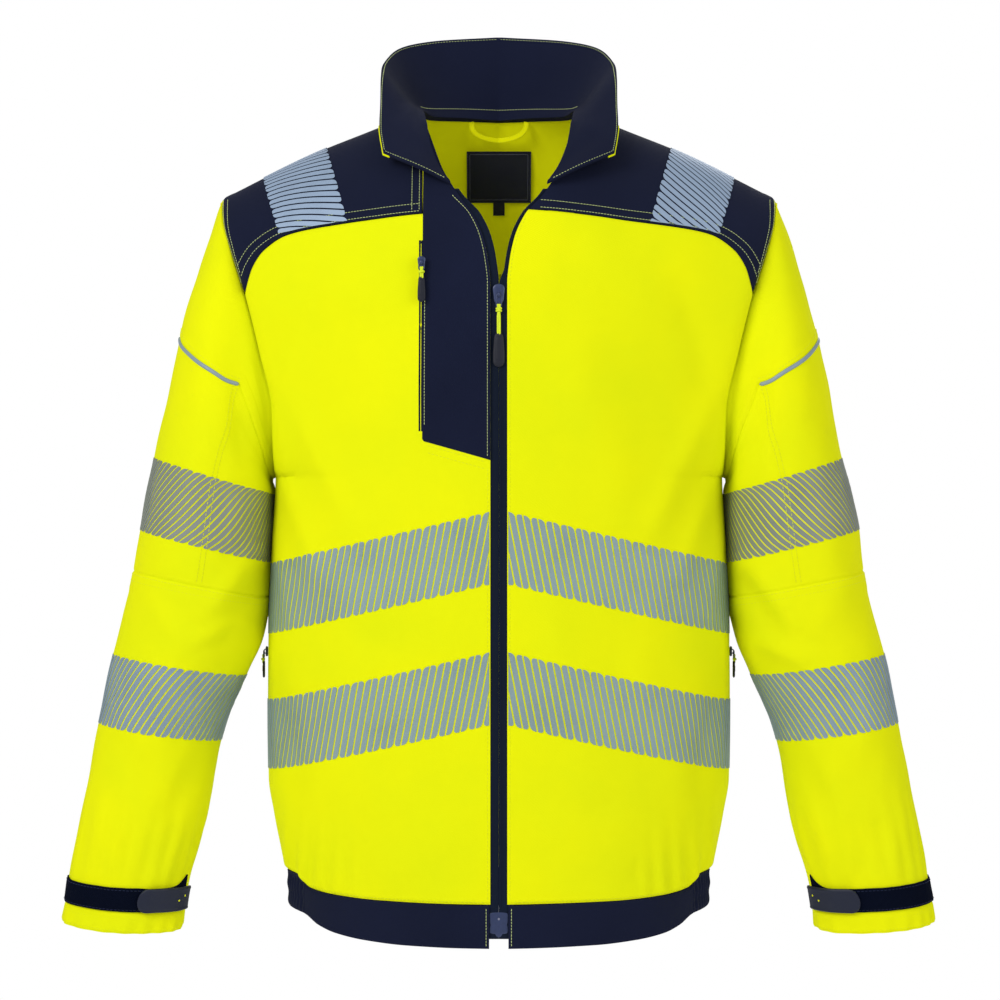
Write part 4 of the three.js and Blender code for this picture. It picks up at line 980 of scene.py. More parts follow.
def tape_bars(name, place, length, width, lean, film, nodes, wrap=False, body_name="garment"):
    """Bars across a band of that length and width. place(s, t, lift) gives the point s along the
    band and t across it. A bar's two edges lean by `lean` along the band for each unit across, and
    its outer corners turn in as a quarter circle."""
    pitch = length / (2 * round(length / (2 * BAR_PITCH))) if wrap else BAR_PITCH
    first = 0 if wrap else -int(abs(lean) * width / pitch) - 2
    last = int(round(length / pitch)) if wrap else int(length / pitch) + int(abs(lean) * width / pitch) + 2
    ends = np.array([0, 0.2, 0.7, 1.6, BAR_CORNER])
    t = np.concatenate([ends, np.linspace(BAR_CORNER, width - BAR_CORNER, 9)[1:-1], width - ends[::-1]])
    end = np.minimum(t, width - t)
    turn_in = BAR_CORNER - np.sqrt(BAR_CORNER**2 - np.clip(BAR_CORNER - end, 0, BAR_CORNER) ** 2)
    number = np.arange(first, last)
    start = number[:, None] * pitch + lean * (t - width / 2)
    outer_left = (number % 2 == 0)[:, None]
    left = start + np.where(outer_left, turn_in, 0)
    right = start + pitch * BAR_WIDTH / BAR_PITCH - np.where(outer_left, 0, turn_in)
    if not wrap:
        inside = (right.max(1) > 0.8) & (left.min(1) < length - 0.8)
        left = np.clip(left[inside], 0, length - 0.08)
        right = np.maximum(np.clip(right[inside], 0, length), left + 0.08)
    s = np.stack([left, right], -1)
    across = np.broadcast_to(t[:, None], s.shape)
    top, under = place(s, across, 0.45), place(s, across, 0.45 - FILM)
    count, rows = s.shape[:2]
    index = np.arange(rows * 2).reshape(rows, 2)
    a, b, c, d = index[:-1, 0], index[:-1, 1], index[1:, 1], index[1:, 0]
    low = rows * 2
    one = np.concatenate([
        np.stack([a, b, c, d], -1), np.stack([d, c, b, a], -1) + low,
        np.stack([a, d, d + low, a + low], -1), np.stack([c, b, b + low, c + low], -1),
        [[1, 0, low, low + 1]], [[low - 2, low - 1, 2 * low - 1, 2 * low - 2]]])
    verts = np.concatenate([top.reshape(count, -1, 3), under.reshape(count, -1, 3)], axis=1)
    faces = (one + 2 * low * np.arange(count)[:, None, None]).reshape(-1, 4)
    uv = np.stack([s, across], -1).reshape(count, -1, 2) * 0.001
    uv = np.concatenate([uv, uv], axis=1).reshape(-1, 2)
    piece = make_object(name, verts.reshape(-1, 3), faces, uv, film)
    turn_outwards(piece)
    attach(piece, body_name)
    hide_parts(*nodes)
    return piece


def turn_outwards(piece):
    """Face every polygon of a closed piece outwards."""
    shape = bmesh.new()
    shape.from_mesh(piece.data)
    bmesh.ops.recalc_face_normals(shape, faces=shape.faces)
    shape.to_mesh(piece.data)
    shape.free()


def running_length(points):
    return np.concatenate([[0], np.cumsum(np.linalg.norm(np.diff(points, axis=0), axis=-1))])


def front_place(turn, top):
    """The tape falls away from its top at the front edge at TAPE_SLOPE."""
    h = np.full(400, top - 50.0)
    for _ in range(8):
        xs = mix(8.0, half_width(h) * 0.9992, np.sin(np.linspace(0, np.pi / 2, 400)))
        h = top - TAPE_SLOPE * xs - TAPE_DROP / 2
    run = running_length(bare(xs, h, False))

    def place(s, t, lift):
        x = np.interp(s, run, xs)
        h_at = top - TAPE_SLOPE * x - TAPE_DROP + t
        x = np.minimum(x, half_width(h_at) * 0.9995)
        return body(turn * x, h_at, False, lift)

    return place, run[-1]


def back_place(top):
    """The route of a tape across the back, whose upper edge is at height `top`, and its length."""
    side = half_width(top - TAPE_DROP / 2) * 0.9992
    xs = side * np.sin(np.linspace(-1, 1, 700) * np.pi / 2)
    run = running_length(bare(xs, np.full(700, top - TAPE_DROP / 2), True))

    def place(s, t, lift):
        h_at = top - TAPE_DROP + t
        x = np.interp(s, run, xs)
        x = np.clip(x, -half_width(h_at) * 0.9995, half_width(h_at) * 0.9995)
        return body(x, h_at, True, lift)

    return place, run[-1]


def arm_place(turn, u_top, u_bottom):
    """The route of a tape round the sleeve between two stations, and its length."""
    angles = np.linspace(-np.pi, np.pi, 721)
    run = running_length(bare_arm(np.full(721, (u_top + u_bottom) / 2), angles))

    def place(s, t, lift):
        at = np.interp(s % run[-1], run, angles)
        return arm(turn, mix(u_bottom, u_top, t / TAPE_DROP), at, lift)

    return place, run[-1]


# All the tapes are one silver film; the different colours given to each place are painted light and
# reflection.
body_film = reflective_material("body_film", (0.26, 0.36, 0.38))
for which, front_top, back_top in (("upper", 362, 318), ("lower", 246, 200)):
    for side, turn in (("left", 1), ("right", -1)):
        place, length = front_place(turn, front_top)
        tape_bars(f"{side}_front_{which}_bars", place, length, TAPE_DROP, -0.213, body_film,
                  [f"{side}_front_{which}_tape"])
    place, length = back_place(back_top)
    tape_bars(f"back_{which}_bars", place, length, TAPE_DROP, 0.213, body_film, [f"back_{which}_tape"])
# Painted reflection and shade: the upper sleeve tapes greyer and greener, the lower ones bluer.
upper_arm_film = reflective_material("upper_arm_film", (0.24, 0.27, 0.24))
lower_arm_film = reflective_material("lower_arm_film", (0.25, 0.34, 0.42))
for side, turn in (("left", 1), ("right", -1)):
    for which, u_top, u_bottom, lean, film in (
            ("upper", 4, 5.15, 0.85, upper_arm_film), ("lower", 8, 9, 0.40, lower_arm_film)):
        place, length = arm_place(turn, u_top, u_bottom)
        tape_bars(f"{side}_{which}_sleeve_bars", place, length, TAPE_DROP, lean, film,
                  [f"{side}_{which}_sleeve_tape"], wrap=True)


def shoulder_place(turn):
    """The band runs from the front yoke seam up over the shoulder to the back seam, between two
    rails that spread from 127 and 186 mm out to 149 and 204 mm at the shoulder."""
    r = 1 - (1 - np.linspace(0, 1, 160)) ** 2.0
    rail = mix(157.0, 176.5, r)
    front_h = mix(yoke_seam(rail) + 1, shoulder(rail), r)
    back_h = mix(YOKE_SEAM_BACK + 12, shoulder(rail), r)
    front_run = running_length(bare(rail, front_h, False))
    back_run = running_length(bare(rail[::-1], back_h[::-1], True))
    total = front_run[-1] + back_run[-1]

    def place(s, t, lift):
        on_back = s > front_run[-1]
        share = np.where(on_back, np.interp(total - s, (back_run[-1] - back_run)[::-1], r),
                         np.interp(s, front_run, r))
        x = mix(mix(186.0, 204.0, share), mix(127.0, 149.0, share), t / 58)
        low = np.where(on_back, YOKE_SEAM_BACK + 12, yoke_seam(x) + 1)
        h = mix(low, shoulder(x), share)
        lift = lift + 0.35
        return np.where(on_back[..., None], body(turn * x, h, True, lift), body(turn * x, h, False, lift))

    return place, total


# Painted light and reflection: the shoulder tapes brighter and bluer than the rest.
shoulder_film = reflective_material("shoulder_film", (0.31, 0.41, 0.56))
for side, turn, lean in (("left", 1, 0.62), ("right", -1, -0.28)):
    place, length = shoulder_place(turn)
    tape_bars(f"{side}_shoulder_bars", place, length, 58.0, lean, shoulder_film, [f"{side}_shoulder_tape"])

# ---- Cuffs ------------------------------------------------------------------
# A navy strap of soft loop pile is sewn round each cuff. A moulded rubber tab with a rounded end,
# faced with hook behind, is sewn in at the inner edge and peels off to take the cuff in.
STRAP_TOP, STRAP_WIDTH = 11.0, 20.0
STRAP_BOTTOM = STRAP_TOP + STRAP_WIDTH / 41
TAB_START, TAB_END = 0.58 * np.pi, 0.93 * np.pi
TAB_HOLES = ((0.71, 0.05), (0.85, -0.30))

loop_pile = cloth_material("loop_pile", (0.0030, 0.0052, 0.0160), (0.0022, 0.0040, 0.0120), 0.97, 0.04,
                           0.0, 800)
pile_nodes = loop_pile.node_tree.nodes
pile_nodes["Bump"].inputs["Strength"].default_value = 0.8
pile_nodes["Bump"].inputs["Distance"].default_value = 0.0007


def rubber_material(name, color, second):
    """Moulded rubber: a fine pebbled noise in the bump and in the gloss, over an even dark colour."""
    material = bpy.data.materials.new(name)
    material.use_nodes = True
    nodes, links = material.node_tree.nodes, material.node_tree.links
    shader = nodes["Principled BSDF"]
    shader.inputs["Specular IOR Level"].default_value = 0.35
    place = nodes.new("ShaderNodeTexCoord")
    pebble = nodes.new("ShaderNodeTexNoise")
    pebble.inputs["Scale"].default_value = 1100.0
    pebble.inputs["Detail"].default_value = 3.0
    gloss = nodes.new("ShaderNodeMapRange")
    gloss.inputs["To Min"].default_value = 0.42
    gloss.inputs["To Max"].default_value = 0.62
    ramp = nodes.new("ShaderNodeValToRGB")
    ramp.color_ramp.elements[0].color = (*second, 1)
    ramp.color_ramp.elements[1].color = (*color, 1)
    bump = nodes.new("ShaderNodeBump")
    bump.inputs["Strength"].default_value = 0.2
    bump.inputs["Distance"].default_value = 0.0002
    links.new(place.outputs["Object"], pebble.inputs["Vector"])
    links.new(pebble.outputs["Fac"], gloss.inputs["Value"])
    links.new(pebble.outputs["Fac"], ramp.inputs["Fac"])
    links.new(pebble.outputs["Fac"], bump.inputs["Height"])
    links.new(ramp.outputs["Color"], shader.inputs["Base Color"])
    links.new(gloss.outputs["Result"], shader.inputs["Roughness"])
    links.new(bump.outputs["Normal"], shader.inputs["Normal"])
    return material


navy_rubber = rubber_material("navy_rubber", (0.0085, 0.0125, 0.0340), (0.0065, 0.0100, 0.0270))
for side, turn in (("left", 1), ("right", -1)):
    angle, row = np.meshgrid(np.linspace(0.9, -0.9, 150) * np.pi, shares(STRAP_WIDTH, 2.0, (0.5, 1.2, 2.0)))
    flare = 0.2 * np.clip((angle - 0.76 * np.pi) / (0.14 * np.pi), 0, 1) ** 2
    u = mix(STRAP_BOTTOM, STRAP_TOP - flare, row)
    swell = 1.75 + roll(bare_arm(u, angle), (), ("low", "high"), 2.2, -0.3)
    cloth(f"{side}_strap_cloth", arm(turn, u, angle, swell), arm(turn, u, angle, swell - 1.3), loop_pile,
          flip=turn < 0, nodes=[f"{side}_cuff_strap"])
    edge = np.linspace(-0.89, 0.89, 300) * np.pi
    inset_u = 1.7 / 41
    stitches(f"{side}_strap_stitching", [arm_line(turn, np.full(300, u), edge, 1.75) for u in
                                         (STRAP_TOP + inset_u, STRAP_BOTTOM - inset_u)],
             thread_material(f"{side}_navy_thread", (0.02, 0.03, 0.09)), radius=0.2)

    # the tab: 41 stations along its length, a rounded free end, and a raised rim round its edge
    share = close_to_ends(41)
    across = np.linspace(-1, 1, 25)
    s, a = np.meshgrid(share, across, indexing="ij")
    tab_angle = mix(TAB_START, TAB_END, s)
    free_end = np.clip(s / 0.16, 0, 1)
    reach = (1 - (1 - free_end) ** 2.2) ** (1 / 2.2) * 10.3
    reach = np.maximum(reach, 0.05)
    edge_distance = np.minimum(reach * (1 - np.abs(a)), s * 62)
    rim = 0.35 * np.exp(-(((edge_distance - 1.6) / 0.7) ** 2)) - 0.5 * np.exp(-((edge_distance / 0.5) ** 2))
    eyelets = 0
    for hole_s, hole_a in TAB_HOLES:
        off = np.hypot((s - hole_s) * 62, (a - hole_a) * 10)
        eyelets = eyelets - 0.5 * np.exp(-((off / 1.1) ** 4))
    u_tab = (STRAP_TOP + STRAP_BOTTOM) / 2 + a * reach / 41
    clear = 2.8
    outer = arm(turn, u_tab, tab_angle, clear + 1.6 + rim + eyelets)
    inner = arm(turn, u_tab, tab_angle, clear - 0.2)
    v = steps(outer, 0)
    uv = np.stack([np.broadcast_to(v[:, None], s.shape), a * 10], -1).reshape(-1, 2) * 0.001
    tab = make_object(f"{side}_tab", np.concatenate([outer.reshape(-1, 3), inner.reshape(-1, 3)]),
                      sheet_faces(41, 25, turn > 0, False), np.concatenate([uv, uv]), navy_rubber)
    close_ends(tab)
    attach(tab, f"{side}_cuff_tab")
    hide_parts(f"{side}_cuff_tab")
    for number, (hole_s, hole_a) in enumerate(TAB_HOLES):
        hole_u = (STRAP_TOP + STRAP_BOTTOM) / 2 + hole_a * 10 / 41
        at = arm(turn, hole_u, mix(TAB_START, TAB_END, hole_s), clear + 1.0)
        over = arm(turn, hole_u, mix(TAB_START, TAB_END, hole_s), clear + 2.0)
        up = over - at
        along = np.array([0.0, 0.0, 1.0])
        cross = np.cross(up, along)
        cross /= np.linalg.norm(cross)
        share_up = close_to_ends(9)
        spine = at + up * (share_up[:, None] * 0.7)
        moulded(f"{side}_tab_mark_{number}", spine, cross, np.cross(cross, up), 0.95 * rounded(share_up),
                0.95 * rounded(share_up), yellow_twill, f"{side}_cuff_tab",
                power=1.0, sides=14)

# ---- Collar -----------------------------------------------------------------
# A stand collar of two layers of navy twill, sewn to the neck seam and topstitched in pale thread.
# Its fronts fall open, and a thin yellow piping shows along the turned edges.
COLLAR_HEIGHT = 75.0


def catmull(points):
    """A smooth path through the points, with centripetal spacing: a cubic on each stretch whose end
    tangents weigh the neighbouring chords by the square roots of their lengths."""
    points = np.asarray(points, float)
    whole = np.concatenate([[2 * points[0] - points[1]], points, [2 * points[-1] - points[-2]]])

    def at(t):
        t = np.asarray(t, float) * (len(points) - 1)
        i = np.clip(np.floor(t).astype(int), 0, len(points) - 2)
        w = (t - i)[..., None]
        p0, p1, p2, p3 = (whole[i + k] for k in range(4))
        d0, d1, d2 = (np.linalg.norm(b - a, axis=-1, keepdims=True) ** 0.5
                      for a, b in ((p0, p1), (p1, p2), (p2, p3)))
        t1 = ((p1 - p0) / d0 - (p2 - p0) / (d0 + d1) + (p2 - p1) / d1) * d1
        t2 = ((p2 - p1) / d1 - (p3 - p1) / (d1 + d2) + (p3 - p2) / d2) * d1
        return p1 + t1 * w + (3 * (p2 - p1) - 2 * t1 - t2) * w**2 + (2 * (p1 - p2) + t1 + t2) * w**3

    return at


neck_seam = catmull(
    [bare(float(neck_edge(h)), h, False) for h in (634.0, 648.0, 675.0, 698.0)] + [(NECK_X, 0, NECK_H)]
    + [bare(x, float(back_neck(x)), True) for x in (62.0, 35.0, 0.0)])
collar_edge = catmull([
    (97, -86, 661), (101, -66, 684), (101.5, -42, 707), (102, -8, 738), (100, 28, 756),
    (88, 60, 772), (62, 80, BACK_LENGTH + COLLAR_HEIGHT - 6), (0, 92, BACK_LENGTH + COLLAR_HEIGHT)])


def bare_collar(n, r):
    """n runs from the left front (0) over the centre back (1) to the right front (2); r runs from
    the neck seam to the free edge along a straight line, bowed forwards at the fronts."""
    side = np.where(n > 1, -1.0, 1.0)
    n = np.where(n > 1, 2 - n, n)
    turned = np.clip(1 - n / 0.4, 0, 1)
    base = neck_seam(n) + np.stack([0 * n, -4.4 * turned, 2.6 - 1.2 * turned], -1)
    point = mix(base, collar_edge(n), r[..., None])
    point[..., 1] -= 5 * turned * np.sin(np.pi * r)
    point[..., 0] *= side
    return point


def collar(n, r, lift=0.0):
    """A point of the collar, moved outwards by `lift` and by a slow waviness of 1.4 mm that dies away
    at both edges."""
    n, r = np.broadcast_arrays(np.asarray(n, float), np.asarray(r, float))
    clipped_n, clipped_r = np.clip(n, 0.003, 1.997), np.clip(r, 0.01, 0.99)
    along = bare_collar(clipped_n + 0.003, clipped_r) - bare_collar(clipped_n - 0.003, clipped_r)
    up = bare_collar(clipped_n, clipped_r + 0.01) - bare_collar(clipped_n, clipped_r - 0.01)
    normal = np.cross(along, up)
    normal /= np.linalg.norm(normal, axis=-1, keepdims=True)
    wave = (1.4 * drift(n * 190, r * 75, 85, 31) + 1.2 * fold(n * 100, r * 75, (150, 10), (176, 60), 5, 1)
            - 1.0 * fold(n * 100, r * 75, (30, 12), (18, 60), 5, 1)) * np.sin(np.pi * np.clip(r, 0, 1)) ** 0.5
    return bare_collar(n, r) + normal * (wave + lift)[..., None]


n, r = np.meshgrid(shares(420, 2.8) * 2, shares(76, 2.4) * 1.05 - 0.05)
swell = roll(bare_collar(n, r), ("left", "right", "high"), ("left", "right", "high"), 3.0, 0.25)
behind = np.clip((0.75 - np.abs(n - 1)) / 0.1, 0, 1)
r = r - 0.045 * behind * np.clip(1 - r / 0.3, 0, 1)
cloth("collar_back_cloth", collar(n, r, 1.6 + swell), collar(n, r, 0.15), navy_twill,
      nodes=["collar_outer"])
foot = 2.6 * np.exp(-(((r + 0.095) * 75 / 8) ** 2)) * behind
cloth("collar_face_cloth", collar(n, r, -0.15), collar(n, r, -1.6 - swell - foot), navy_twill,
      nodes=["collar_inner"])


def collar_line(n, r, lift):
    low, high = collar(n, r, lift), collar(n, r, lift - 1)
    return low, high - low


edge = np.linspace(0.012, 1.988, 600)
up = np.linspace(0.03, 0.97, 80)
inside_edge = [collar_line(edge, np.full(600, 0.968), -1.55)]
inside_edge += [collar_line(np.full(80, at), up, -1.55) for at in (0.014, 1.986)]
foot = np.linspace(0.62, 1.38, 300)
inside_edge.append(collar_line(foot, np.full(300, 0.05), -2.0))
stitches("collar_face_stitching", inside_edge, pale_thread, pitch=2.6, length=2.1, radius=0.27)
outer_edge = [(collar(edge, np.full(600, r), 1.55),
               collar(edge, np.full(600, r), 2.55) - collar(edge, np.full(600, r), 1.55))
              for r in (0.968, 0.05)]
stitches("collar_back_stitching", outer_edge, pale_thread, pitch=2.6, length=2.1, radius=0.27)
for side, low, high in (("left", 0.0, 0.17), ("right", 2.0, 1.83)):
    share = np.linspace(low, high, 140)
    corner = collar(np.full(40, low), np.linspace(0.90, 0.995, 40), 0.9)
    spine = np.concatenate([corner[:-1], collar(share, np.full(140, 1.0), 0.9)])
    along = np.gradient(spine, axis=0)
    away = np.concatenate([np.repeat(collar(low, 1.0, 2)[None] - collar(low, 1.0, 1)[None], 39, 0),
                           collar(share, np.full(140, 1.0), 2) - collar(share, np.full(140, 1.0), 1)])
    across = np.cross(along, away)
    across /= np.linalg.norm(across, axis=-1, keepdims=True)
    ends = rounded(np.linspace(0, 1, len(spine)), 0.02)
    moulded(f"{side}_collar_piping", spine, across, away, ends, ends, yellow_twill,
            power=1.0, sides=10)

# ---- Neck label and hanger loop ---------------------------------------------
# A woven navy label with a fine grey border is sewn inside the back of the neck, with a small size
# tab below it. Above it a rolled yellow loop hangs from the neck seam.
LABEL_WIDTH, LABEL_HEIGHT = 58.0, 48.0
label_box = [np.array(corner) * 1000 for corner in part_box("neck_label")]
label_low = label_box[0] + [0, -SIDE_SEAM_Y, BACK_LENGTH]
label_high = label_box[1] + [0, -SIDE_SEAM_Y, BACK_LENGTH]


def label_point(a, b, lift):
    """a across and b up the label, both 0 to 1, on its tilted face; `lift` is towards the front."""
    tilt = math.atan2(label_high[1] - label_low[1] - 0.7, LABEL_HEIGHT)
    foot_y = label_high[1] - 0.7
    head_y = label_low[1] + 0.05
    y = mix(foot_y, head_y, b) - lift * math.cos(tilt) - 0.5 * np.sin(np.pi * a) * np.sin(np.pi * b)
    x, h = mix(-LABEL_WIDTH / 2, LABEL_WIDTH / 2, a), mix(label_low[2], label_high[2], b)
    return np.stack([x + 0 * b, y, h + 0 * a], -1)


woven_label = cloth_material("woven_label", (0.0060, 0.0080, 0.026), (0.0045, 0.0060, 0.020), 0.6, 0.35,
                             0.1, 2600)
grey_yarn = cloth_material("grey_yarn", (0.20, 0.21, 0.31), (0.16, 0.17, 0.25), 0.6, 0.3, 0.1, 2600)
a, b = np.meshgrid(shares(58, 2.0, (0.5, 1.2)), shares(48, 2.0, (0.5, 1.2)))
folded = roll(label_point(a, b, 0.0 * a), (), ("left", "right", "low", "high"), 1.3, -0.12)
cloth("label_cloth", label_point(a, b, 0.2 + folded), label_point(a, b, -0.4 + 0 * a), woven_label,
      nodes=["neck_label"])
border = []
for start, end in (((0.05, 0.06), (0.95, 0.06)), ((0.95, 0.06), (0.95, 0.94)),
                   ((0.95, 0.94), (0.05, 0.94)), ((0.05, 0.94), (0.05, 0.06))):
    a, b = np.linspace(start[0], end[0], 60), np.linspace(start[1], end[1], 60)
    border.append((label_point(a, b, 0.16), label_point(a, b, 1.16) - label_point(a, b, 0.16)))
frame_yarn = stitches("label_border", border, grey_yarn, pitch=0.82, length=0.8, radius=0.24)
edge_yarn = []
for side_a in (0.012, 0.988):
    a, b = np.full(60, side_a), np.linspace(0.02, 0.98, 60)
    edge_yarn.append((label_point(a, b, 0.1), label_point(a, b, 1.1) - label_point(a, b, 0.1)))
stitches("label_stitching", edge_yarn, grey_yarn, pitch=2.4, length=1.9, radius=0.16)
a, b = np.meshgrid(np.linspace(0.41, 0.59, 24), np.linspace(-0.25, 0.02, 20))
cloth("size_tab_cloth", label_point(a, b, 0.9 + 0.4 * np.sin(np.pi * (b + 0.25) * 3.6)),
      label_point(a, b, 0.3 + 0.4 * np.sin(np.pi * (b + 0.25) * 3.6)), woven_label, sheet=False)

LOOP_HALF_WIDTH, LOOP_DROP, LOOP_WIDTH = 27.0, 21.0, 4.5
angle = np.linspace(0, np.pi, 90)
turned_x = (LOOP_HALF_WIDTH - LOOP_WIDTH / 2) * np.cos(angle)
neck_y = bare(turned_x, back_neck(turned_x) - 1, True)[:, 1] - 2.7
spine = np.stack([turned_x, neck_y - 1.2 * np.sin(angle),
                  back_neck(turned_x) - 2 - (LOOP_DROP - LOOP_WIDTH / 2) * np.sin(angle) ** 0.62], -1)
along = np.gradient(spine, axis=0)
forward = np.array([0.0, -1.0, 0.0])
across = np.cross(along, forward)
across /= np.linalg.norm(across, axis=-1, keepdims=True)
# The loop's lining material glows faintly: painted light.
loop = moulded("loop_cloth", spine, across, forward, np.full(90, LOOP_WIDTH / 2), np.full(90, 0.75),
               yellow_lining,
               nodes=["hanger_loop"], power=0.6, sides=18)
edge_rows = [(spine + across * d + forward * 0.68, np.broadcast_to(forward, spine.shape))
             for d in (-1.5, 1.5)]
stitches("loop_stitching", edge_rows, yellow_thread, pitch=2.6, length=2.1, radius=0.16)

# ---- Front zip --------------------------------------------------------------
# A navy reverse-coil zip: two woven tapes whose rolled edges meet down the centre front, with the
# coil's loops showing as fine ribs. It is closed up to its slider and parts above it.
ZIP_BOTTOM, SLIDER_TOP = 8.0, 549.0
TAPE_BEHIND = 1.2
zip_weave = cloth_material("zip_weave", (0.0068, 0.0120, 0.0280), (0.0055, 0.0100, 0.0230), 0.9, 0.12,
                           0.0, 1900)


def zip_point(turn, h, w, lift):
    """A point of one zip tape: w from its coil edge outwards, on the straight centre-front line up
    to the slider and along the front edge above it, a little behind the cloth. The left tape turns
    3.5 mm further under the cloth there."""
    tucked = 3.5 * np.clip((h - SLIDER_TOP) / 12, 0, 1) * (turn > 0)
    opened = np.where(h > SLIDER_TOP, neck_edge(h) - 7 + tucked, 0)
    x = opened + w
    y = bare(np.where(opened > 0, x, 0.0), h, False)[..., 1]
    bulge = 0.7 * np.exp(-(((w - 1.4) / 1.1) ** 2)) * np.clip((h - 31) / 4, 0, 1)
    return np.stack([turn * x, y + TAPE_BEHIND - bulge - lift, h + 0 * x], -1)


tape_w = np.array([0.02, 0.3, 0.6, 1.0, 1.6, 2.2, 2.9, 3.6, 4.6, 5.8, 7.0, 9.0, 12.0])
for side, turn in (("left", 1), ("right", -1)):
    w, h = np.meshgrid(tape_w, np.linspace(ZIP_BOTTOM, COLLAR_FRONT_END - 4, 420))
    wavy = 0.12 * np.sin(h * 2 * np.pi / 1.9) * np.exp(-(((w - 4.6) / 1.2) ** 2))
    cloth(f"{side}_tape_cloth", zip_point(turn, h, w, wavy),
          zip_point(turn, h, w, -0.9 + 0 * wavy), zip_weave,
          flip=turn < 0, nodes=[f"{side}_zip_tape"])
    rib_h = np.arange(35, COLLAR_FRONT_END - 8, 1.55)
    rib_w = np.full(len(rib_h), 1.35)
    ends = np.stack([zip_point(turn, rib_h - 0.25, rib_w - 1.05, 0.12),
                     zip_point(turn, rib_h + 0.25, rib_w + 0.95, 0.12)], 1)
    step = np.array([0, 0.2, 0.5, 0.8, 1.0])
    girth = np.array([0.25, 1.0, 1.1, 1.0, 0.25]) * 0.52
    middle = mix(ends[:, :1], ends[:, 1:], step[None, :, None])
    around = np.arange(6) * np.pi / 3
    ring = np.stack([0 * around, -np.cos(around) * 0.7, np.sin(around)], -1)
    grid = middle[:, :, None] + ring * girth[:, None, None]
    index = np.arange(30).reshape(5, 6)
    turned = np.roll(index, -1, axis=1)
    one = np.stack([index[:-1], index[1:], turned[1:], turned[:-1]], -1).reshape(-1, 4)
    one = np.concatenate([one, [[0, 1, 2, 3], [0, 3, 4, 5], [27, 26, 25, 24], [29, 28, 27, 24]]])
    faces = (one + 30 * np.arange(len(grid))[:, None, None]).reshape(-1, 4)
    share = np.linspace(0, 1, grid.size // 3)
    coil = make_object(f"{side}_coil", grid.reshape(-1, 3), faces, np.stack([share, share], -1), zip_weave)
    turn_outwards(coil)
    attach(coil, "garment")

# ---- Zip ends, sliders and pullers ------------------------------------------
# Die-cast sliders enamelled navy blue, each with an arched lug. A wire ring hangs from the lug, and
# a knotted fluorescent cord joins it to a moulded rubber grip. A moulded box holds the zip's foot.


def enamel_material(name, color):
    """Blue enamel on cast metal: a thin coat over it, gloss broken by noise, slight change of depth."""
    material = bpy.data.materials.new(name)
    material.use_nodes = True
    nodes, links = material.node_tree.nodes, material.node_tree.links
    shader = nodes["Principled BSDF"]
    shader.inputs["Metallic"].default_value = 0.3
    shader.inputs["Coat Weight"].default_value = 0.4
    shader.inputs["Coat Roughness"].default_value = 0.25
    place = nodes.new("ShaderNodeTexCoord")
    noise = nodes.new("ShaderNodeTexNoise")
    noise.inputs["Scale"].default_value = 420.0
    noise.inputs["Detail"].default_value = 4.0
    gloss = nodes.new("ShaderNodeMapRange")
    gloss.inputs["To Min"].default_value = 0.28
    gloss.inputs["To Max"].default_value = 0.5
    ramp = nodes.new("ShaderNodeValToRGB")
    ramp.color_ramp.elements[0].color = (*[0.7 * c for c in color], 1)
    ramp.color_ramp.elements[1].color = (*color, 1)
    links.new(place.outputs["Object"], noise.inputs["Vector"])
    links.new(noise.outputs["Fac"], gloss.inputs["Value"])
    links.new(noise.outputs["Fac"], ramp.inputs["Fac"])
    links.new(ramp.outputs["Color"], shader.inputs["Base Color"])
    links.new(gloss.outputs["Result"], shader.inputs["Roughness"])
    return material


blue_enamel = enamel_material("blue_enamel", (0.027, 0.046, 0.135))
dark_rubber = rubber_material("dark_rubber", (0.0085, 0.0100, 0.020), (0.0060, 0.0075, 0.016))
cord_yarn = thread_material("cord_yarn", (0.80, 0.95, 0.02))


def ring_tube(name, points, radius, material, body_name, nodes=(), closed=False, sides=12):
    """A round wire along a line of points; its sections turn with the line, and an open end is
    rounded over its own radius."""
    before = np.roll(points, 1, axis=0) if closed else np.concatenate([points[:1], points[:-1]])
    after = np.roll(points, -1, axis=0) if closed else np.concatenate([points[1:], points[-1:]])
    along = after - before
    along /= np.linalg.norm(along, axis=-1, keepdims=True)
    spare = points.std(axis=0).argmin()
    side = np.cross(along, np.eye(3)[spare])
    side /= np.linalg.norm(side, axis=-1, keepdims=True)
    up = np.cross(side, along)
    if not closed:
        run = running_length(points)
        size = radius * rounded(run / run[-1], min(0.5, radius / run[-1]))
        return moulded(name, points, side, up, size, size, material, body_name, nodes,
                       power=1.0, sides=sides)
    around = np.arange(sides) * 2 * np.pi / sides
    grid = points[:, None] + radius * (np.cos(around)[:, None] * side[:, None]
                                       + np.sin(around)[:, None] * up[:, None])
    index = np.arange(len(points) * sides).reshape(-1, sides)
    turned = np.roll(index, -1, axis=1)
    nxt = np.roll(index, -1, axis=0)
    faces = np.stack([index, turned, np.roll(turned, -1, axis=0), nxt], -1).reshape(-1, 4)
    u, v = np.meshgrid(around * radius, np.arange(len(points)) * radius)
    piece = make_object(name, grid.reshape(-1, 3), faces,
                        np.stack([u, v], -1).reshape(-1, 2) * 0.001, material)
    turn_outwards(piece)
    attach(piece, body_name)
    if nodes:
        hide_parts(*nodes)
    return piece


